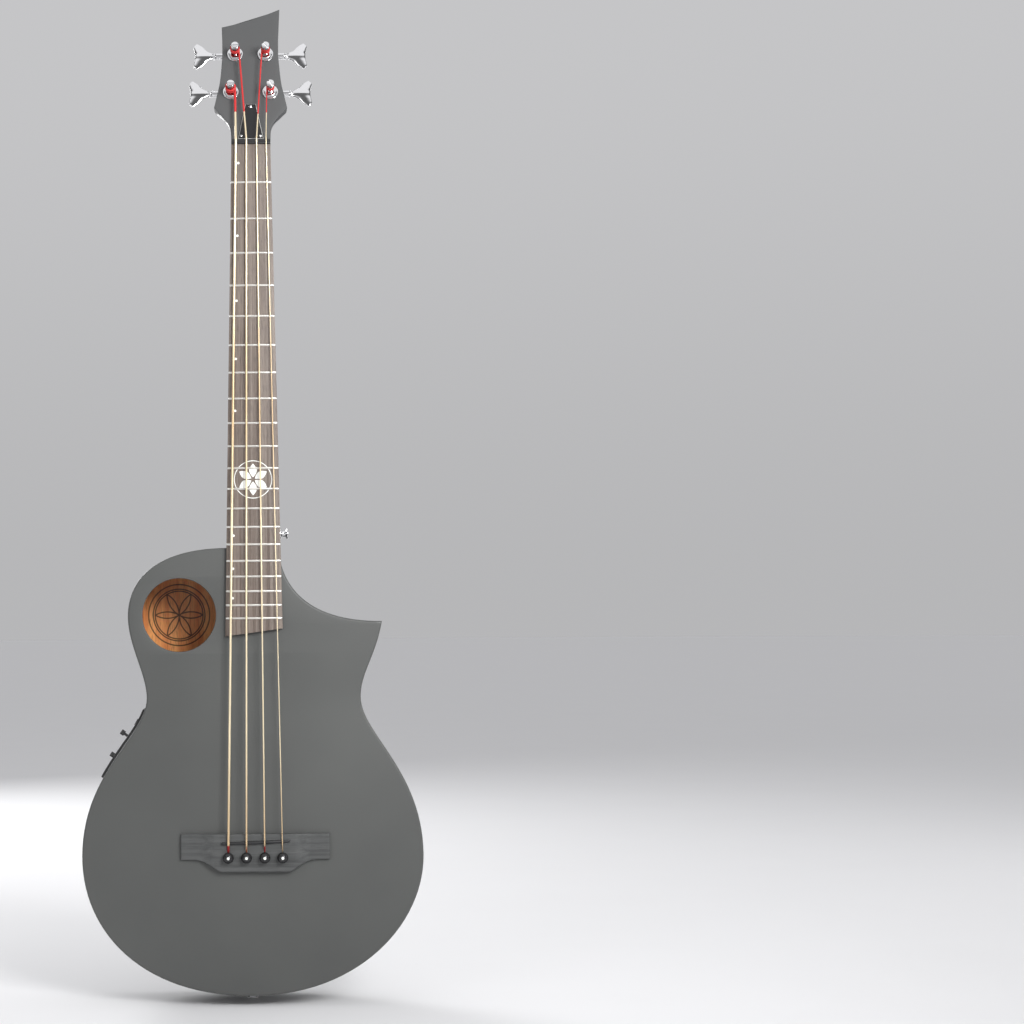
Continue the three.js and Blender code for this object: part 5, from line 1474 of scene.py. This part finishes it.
cover_screws = []
for x, z in ((0, 40.6), (-10.4, 4.2), (10.4, 4.2)):
    cover_screws += screw_head(forwards_on_head(x, z, 2.5), 1.5, 0.8)
fit(build("cover_screws", cover_screws, [chrome], sharp=60), "instrument", "chrome")

# Tuners: chrome open-geared machines. A cup screwed to the back of the headstock holds the wheel,
# a tube beside it the worm on its key, and a hexagon bushing holds the post in front.
AXLE_Y = HEAD_THICKNESS + 5.6
WORM_OFFSET = 10.0
WHEEL_TEETH = 20
WHEEL_PITCH = 6.7
WHEEL_WIDTH = 4.0
WORM_RADIUS = 3.3
WORM_PITCH = 2 * np.pi * WORM_RADIUS / WHEEL_TEETH  # about half that of the solids' thread
WORM_CREST = 3.75
WORM_ROOT = 2.55
CUP_RADIUS = 8.9
CUP_DEPTH = 8.3
TAB_THICKNESS = 2.0

# A tuner's own frame stands at its post's foot: x out to the key, y back and z up the neck.
along_key = np.array([(0, 1, 0), (0, 0, 1), (1, 0, 0), (0, AXLE_Y, WORM_OFFSET)], float)
along_post = backwards_from(0, 0, 0)


def cylinder(radius, start, end):
    """The profile of a plain cylinder between two heights."""
    return [(0, start), (radius, start), (radius, end), (0, end)]


def rounded(profile, radius, steps=4):
    """A profile with its sharp corners eased by a short curve each."""
    return eased([np.array(p, float) for p in profile], radius, steps)


def union(name, solids, cutters, finishes):
    """The mesh of one closed solid made from several that overlap, with others cut out of it."""
    first, *rest = [build(name, parts, finishes) for parts in solids]
    for solid in rest:
        worked(first, "UNION", solid)
    made = carve(first, cutters, sharp=32).data
    bpy.data.objects.remove(first)
    return made


def bore(radius, start, end, place, sides=40):
    """A cylinder to cut a bore with."""
    return build("bore_cutter", spin(cylinder(radius, start, end), place, sides), [])


cup_turn = np.radians(np.linspace(180, 360, 31))
cup_round = CUP_RADIUS * np.stack([np.cos(cup_turn), np.sin(cup_turn)], -1)
cup_line = np.concatenate([cup_round, [(CUP_RADIUS, WORM_OFFSET), (-CUP_RADIUS, WORM_OFFSET)]])
tab_line = np.array(
    [(-5.2, -5), (-4.1, -8.6), (-2.7, -12.6), (-1.5, -14), (0, -14.2), (1.5, -14)]
    + [(2.7, -12.6), (4.1, -8.6), (5.2, -5)]
)
housing = union(
    "housing",
    [
        plate(cup_line, HEAD_THICKNESS, HEAD_THICKNESS + CUP_DEPTH, 0, 0.7),
        spin(rounded(cylinder(5.2, -CUP_RADIUS, CUP_RADIUS), 0.7), along_key, 40),
        spin(rounded(cylinder(3.8, 0, 22), 0.6), along_key, 40),
        plate(tab_line, HEAD_THICKNESS, HEAD_THICKNESS + TAB_THICKNESS, 0, 0.4),
    ],
    [
        bore(7.6, 17.5, 40, along_post, 60),
        bore(4.1, -14, 7.6, along_key),
        bore(2.5, 0, 30, along_key, 32),
    ],
    [chrome],
)
housing_screw = screw_head(backwards_from(0, HEAD_THICKNESS + TAB_THICKNESS, -11.6), 2.3, 1.1)

worm_x = np.linspace(-3.6, 3.6, 121)
worm_angle = np.linspace(0, 2 * np.pi, 32, endpoint=False)
phase = worm_x[:, None] / WORM_PITCH - worm_angle / (2 * np.pi) + 0.75
off = np.abs(phase - np.round(phase))
thread = WORM_CREST + (WORM_ROOT - WORM_CREST) * np.clip((off - 0.1) / 0.122, 0, 1)
worm = np.stack(
    [
        np.broadcast_to(worm_x[:, None], thread.shape),
        AXLE_Y + thread * np.cos(worm_angle),
        WORM_OFFSET + thread * np.sin(worm_angle),
    ],
    -1,
)
shaft_corners = [(0, -8.6), (2.2, -8.6), (2.2, 22.3), (4, 22.3), (4, 24), (2.2, 24.2), (2, 30)]
shaft = np.vstack([rounded(shaft_corners, 0.5), [(0, 30)]])

# The key's blade: inner edge, outer edge and half thickness by height, smoothed between.
blade_knots = np.array(
    [
        (0, 23.6, 45.5, 2.4),
        (2.4, 23.8, 45.6, 2.2),
        (6.6, 31.4, 46.3, 1.8),
        (12.4, 36.9, 47.2, 1.3),
        (16, 42.3, 44.4, 0.9),
    ]
)
heights = np.concatenate([np.linspace(0, 14, 22), [14.6, 15.1, 15.5, 15.8, 16]])
inner, outer, thick = (
    smooth_through(blade_knots[:, 0], blade_knots[:, n], heights) for n in (1, 2, 3)
)
inner, outer, thick = (np.concatenate([v[:0:-1], v]) for v in (inner, outer, thick))
heights = np.concatenate([-heights[:0:-1], heights])
turn = np.linspace(0, 2 * np.pi, 40, endpoint=False)
wave = np.sign(np.cos(turn)) * np.abs(np.cos(turn)) ** 0.7
blade = np.stack(
    [
        (inner + outer)[:, None] / 2 + (outer - inner)[:, None] / 2 * wave,
        AXLE_Y + thick[:, None] * np.sin(turn),
        np.broadcast_to((WORM_OFFSET + heights)[:, None], (len(heights), len(turn))),
    ],
    -1,
)
key_parts = skin(worm, capped=True) + spin(shaft, along_key, 40) + skin(blade, capped=True)

tooth = np.array([(-0.26, 5.95), (-0.12, 7.15), (0.12, 7.15), (0.26, 5.95)])
tooth_angle = 2 * np.pi * (np.arange(WHEEL_TEETH)[:, None] + 0.5 + tooth[:, 0]) / WHEEL_TEETH
tooth_radius = np.broadcast_to(tooth[:, 1], tooth_angle.shape)
twist = WORM_PITCH * WHEEL_WIDTH / (4 * np.pi * WORM_RADIUS * WHEEL_PITCH)
wheel = np.array(
    [
        np.stack(
            [
                (tooth_radius * np.sin(tooth_angle + s * twist)).ravel(),
                np.full(tooth_angle.size, AXLE_Y + s * WHEEL_WIDTH / 2),
                (tooth_radius * np.cos(tooth_angle + s * twist)).ravel(),
            ],
            -1,
        )
        for s in np.linspace(-1, 1, 5)
    ]
)
post_top = [(0, -CAP_HEIGHT), (4.3, -CAP_HEIGHT), (4.3, -16), (POST_RADIUS, -15.8)]
post_foot = [(POST_RADIUS, 17.9), (6.2, 22), (6.6, 23.5), (0, 23.5)]
post_profile = rounded(post_top + post_foot, 0.5)
wheel_screw = screw_head(backwards_from(0, 23.4, 0), 3.2, 0.9)
bushing = union(
    "bushing",
    [
        spin(rounded(cylinder(8.85, -1.9, 0), 0.5), along_post, 60),
        plate(circle((0, 0), 7.5, 6), -4.9, -1.0, 0.6, 0),
        spin(cylinder(4.8, -1, 11), along_post, 40),
    ],
    [bore(3.4, -12, 20, along_post)],
    [chrome],
)
SLOT_ANGLES = {"e": 0, "a": 0.1, "d": 0.75, "g": 0.9}


def tuner_frame(string):
    """A tuner's own frame on the headstock, mirrored on the bass side."""
    x, at = TUNER_ROWS[string["row"]]
    origin = placed(np.array((string["side"] * x, 0, at)), head_frame)
    return np.array([string["side"] * head_frame[0], head_frame[1], head_frame[2], origin])


def moved(mesh, name, place, finishes):
    """A copy of a mesh carried into a frame, its faces turned outwards again if mirrored."""
    copy = mesh.copy()
    copy.name = name
    copy.vertices.foreach_set("co", (placed(points_of(mesh), place) * MM).ravel())
    work = bmesh.new()
    work.from_mesh(copy)
    bmesh.ops.recalc_face_normals(work, faces=work.faces)
    work.to_mesh(copy)
    work.free()
    copy.materials.clear()
    for finish in finishes:
        copy.materials.append(finish)
    piece = bpy.data.objects.new(name, copy)
    bpy.context.scene.collection.objects.link(piece)
    return piece


for name, string in STRINGS.items():
    place = tuner_frame(string)
    body = moved(housing, f"gear_housing_{name}", place, [chrome])
    fit(body, "instrument", "chrome", f"tuner_{name}_housing")
    screw = build(f"housing_screw_{name}", placed_parts(housing_screw, place), [chrome], 60)
    fit(screw, "instrument", "chrome")
    collar = moved(bushing, f"hex_bushing_{name}", place, [chrome])
    fit(collar, "instrument", "chrome", f"tuner_{name}_bushing")
    key = build(f"winged_key_{name}", placed_parts(key_parts, place), [chrome], 40)
    fit(key, f"key_{name}", "chrome", f"tuner_{name}_key")
    slot = SLOT_ANGLES[name]
    slot_frame = np.array(
        [(np.cos(slot), 0, -np.sin(slot)), (0, 1, 0), (np.sin(slot), 0, np.cos(slot)), (0, 0, 0)]
    )
    slot_block = box_part((-9, -26, -0.85), (9, -17.5, 0.85), slot_frame)
    cutter = build("post_slot_cutter", placed_parts(slot_block, place), [])
    post_parts = placed_parts(spin(post_profile, along_post, 48), place)
    post = carve(build(f"slotted_post_{name}", post_parts, [chrome]), [cutter])
    fit(post, f"post_{name}", "chrome", f"tuner_{name}_post")
    gear = build(
        f"worm_wheel_{name}",
        placed_parts(skin(wheel, capped=True) + wheel_screw, place),
        [chrome],
        30,
    )
    fit(gear, f"post_{name}", "chrome", f"tuner_{name}_post")

# Strap buttons: turned steel, chromed, with a waist for the strap. One stands on the heel and
# one in the tail.
button = rounded(
    [
        (0, -2),
        (6.4, -2),
        (6.4, 1.4),
        (3.4, 3.1),
        (3.4, 7.0),
        (6.0, 8.1),
        (6.0, 9.2),
        (4.5, 9.6),
        (1.9, 9.55),
        (1.5, 8.6),
        (0, 8.6),
    ],
    0.7,
)
heel_button_frame = np.array([(0, 1, 0), (0, 0, 1), (1, 0, 0), (28.9, 33.5, -429)], float)
end_pin_frame = np.array([(1, 0, 0), (0, 1, 0), (0, 0, -1), (-4, 50, -929)], float)
for name, place, node in (
    ("heel_button", heel_button_frame, "strap_button"),
    ("tail_button", end_pin_frame, "end_pin"),
):
    piece = build(name, spin(button, place, 56), [chrome], sharp=40)
    fit(piece, "instrument", "chrome", node)

# Preamp: a moulded black panel bent to the rim on the bass side, with two knobs and a push
# button. Its case behind it holds the circuit and the battery.
PREAMP_DEPTH = 50.0
PANEL_THICKNESS = 3.3
FLUTES = 24
FLUTE_DEPTH = 0.07


def rim_path(side, high, low, rows):
    """Places along the rim between two heights, with the direction out of the rim at each. They
    are read from a fine outline by their share of the stretch's length."""
    steps = 400
    fine = body_outline(steps)
    tail = 4 * steps
    half = fine[: tail + 1] if side < 0 else fine[tail:]
    stretch = half[(half[:, 1] < high) & (half[:, 1] > low)]
    if side > 0:
        stretch = stretch[::-1]
    length = np.concatenate([[0], np.cumsum(np.linalg.norm(np.diff(stretch, axis=0), axis=1))])
    where = np.linspace(0, 1, rows) * length[-1]
    x, z = (np.interp(where, length, stretch[:, n]) for n in (0, 1))
    way = np.stack([np.gradient(x), np.gradient(z)], -1)
    way = way / np.linalg.norm(way, axis=1, keepdims=True)
    out = np.stack([way[:, 1], 0 * x, -way[:, 0]], -1)
    out = out * np.sign(out[:, :1] * side)
    return np.stack([x, 0 * x, z], -1), out, where


def bent_plate(side, high, low, depth, width, thickness, corner, edge):
    """A moulding along the rim whose width shrinks by a quarter circle at each end."""
    path, out, where = rim_path(side, high, low, 200)
    length = where[-1]
    keep = np.concatenate(
        [
            corner * (1 - np.cos(np.radians(np.linspace(0, 90, 14)))),
            np.linspace(corner, length - corner, 40)[1:-1],
            length - corner * (1 - np.cos(np.radians(np.linspace(90, 0, 14)))),
        ]
    )
    path = np.stack([np.interp(keep, where, path[:, n]) for n in range(3)], -1)
    out = np.stack([np.interp(keep, where, out[:, n]) for n in range(3)], -1)
    near = np.minimum(keep, length - keep)
    half = width / 2 - end_drop(near, corner)
    top = thickness - end_drop(near, edge)
    return moulding(path, (0, 1, 0), out, depth - half, depth + half, -0.4, top, edge, flat=12)


def rim_frame(point, out):
    """A frame that stands on the rim with its z axis pointing out of it."""
    out = np.array(out, float)
    out = out / np.linalg.norm(out)
    along = np.cross((0, 1, 0), out)
    return np.array([along, (0, 1, 0), out, point])


moulded_black = lacquer(
    "moulded_black", (0.03, 0.03, 0.031), (0.042, 0.042, 0.044), 0.46, 1400, 0.12
)
panel = build(
    "preamp_cover",
    bent_plate(-1, -622, -697, PREAMP_DEPTH, 42, PANEL_THICKNESS, 5, 0.9),
    [moulded_black],
)
fit(panel, "instrument", "black_plastic", "preamp_panel")
coat_node("preamp_case", moulded_black)
volume_frame = rim_frame((-137.92, PREAMP_DEPTH, -653.31), (-0.8209, 0, 0.5711))
tone_frame = rim_frame((-152.79, PREAMP_DEPTH, -675.13), (-0.8312, 0, 0.5560))
push_frame = rim_frame((-127.95, PREAMP_DEPTH, -637.77), (-0.8744, 0, 0.4852))
volume_stem = rounded(cylinder(1.5, 0.3, 8), 0.1)
volume_cap = rounded(cylinder(2.9, 7.7, 12.3), 0.35)
volume = build(
    "volume_cap",
    spin(volume_stem, volume_frame, 32)
    + spin(volume_cap, volume_frame, 96, 0, FLUTES, FLUTE_DEPTH),
    [moulded_black],
    50,
)
fit(volume, "volume_control", "black_plastic", "volume_knob")
tone_cap = rounded(cylinder(2.75, 0.3, 8.3), 0.35)
tone = build(
    "tone_cap", spin(tone_cap, tone_frame, 96, 0, FLUTES, FLUTE_DEPTH), [moulded_black], 50
)
fit(tone, "tone_control", "black_plastic", "tone_knob")
push_cap = rounded([(0, 1.7), (4, 1.7), (4, 4.2), (0, 4.0)], 0.3)
push = build("push_cap", spin(push_cap, push_frame, 48), [moulded_black], 50)
fit(push, "tuner_switch", "black_plastic", "tuner_button")

# Output jack: a chromed socket in a moulded black plate that is bent to the rim, low on the
# treble side, and held by two screws.
JACK_DEPTH = 52.0
JACK_SCREW_REACH = 13.2
jack_plate = build(
    "jack_cover", bent_plate(1, -836, -874, JACK_DEPTH, 36, 2.3, 7, 0.7), [moulded_black]
)
fit(jack_plate, "instrument", "black_plastic", "jack_plate")
jack_frame = rim_frame((154.64, JACK_DEPTH, -855.88), (0.8110, 0, -0.5851))
jack_profile = [
    (0, -26),
    (9, -26),
    (9, -5.6),
    (4.7, -5.6),
    (4.7, 2.0),
    (7.2, 2.1),
    (7.2, 4.9),
    (6.7, 5.2),
    (4.4, 5.2),
    (3.3, 3.6),
    (3.3, -17),
    (0, -17),
]
jack = build("jack_socket", spin(jack_profile, jack_frame, 56), [chrome], 30)
fit(jack, "instrument", "chrome", "output_jack")
jack_screws = []
for side in (-1, 1):
    spot = jack_frame[3] + side * JACK_SCREW_REACH * jack_frame[1] + 2.2 * jack_frame[2]
    jack_screws += screw_head(np.array([*jack_frame[:3], spot]), 2.2, 1.0)
fit(build("jack_screws", jack_screws, [chrome], 60), "instrument", "chrome")
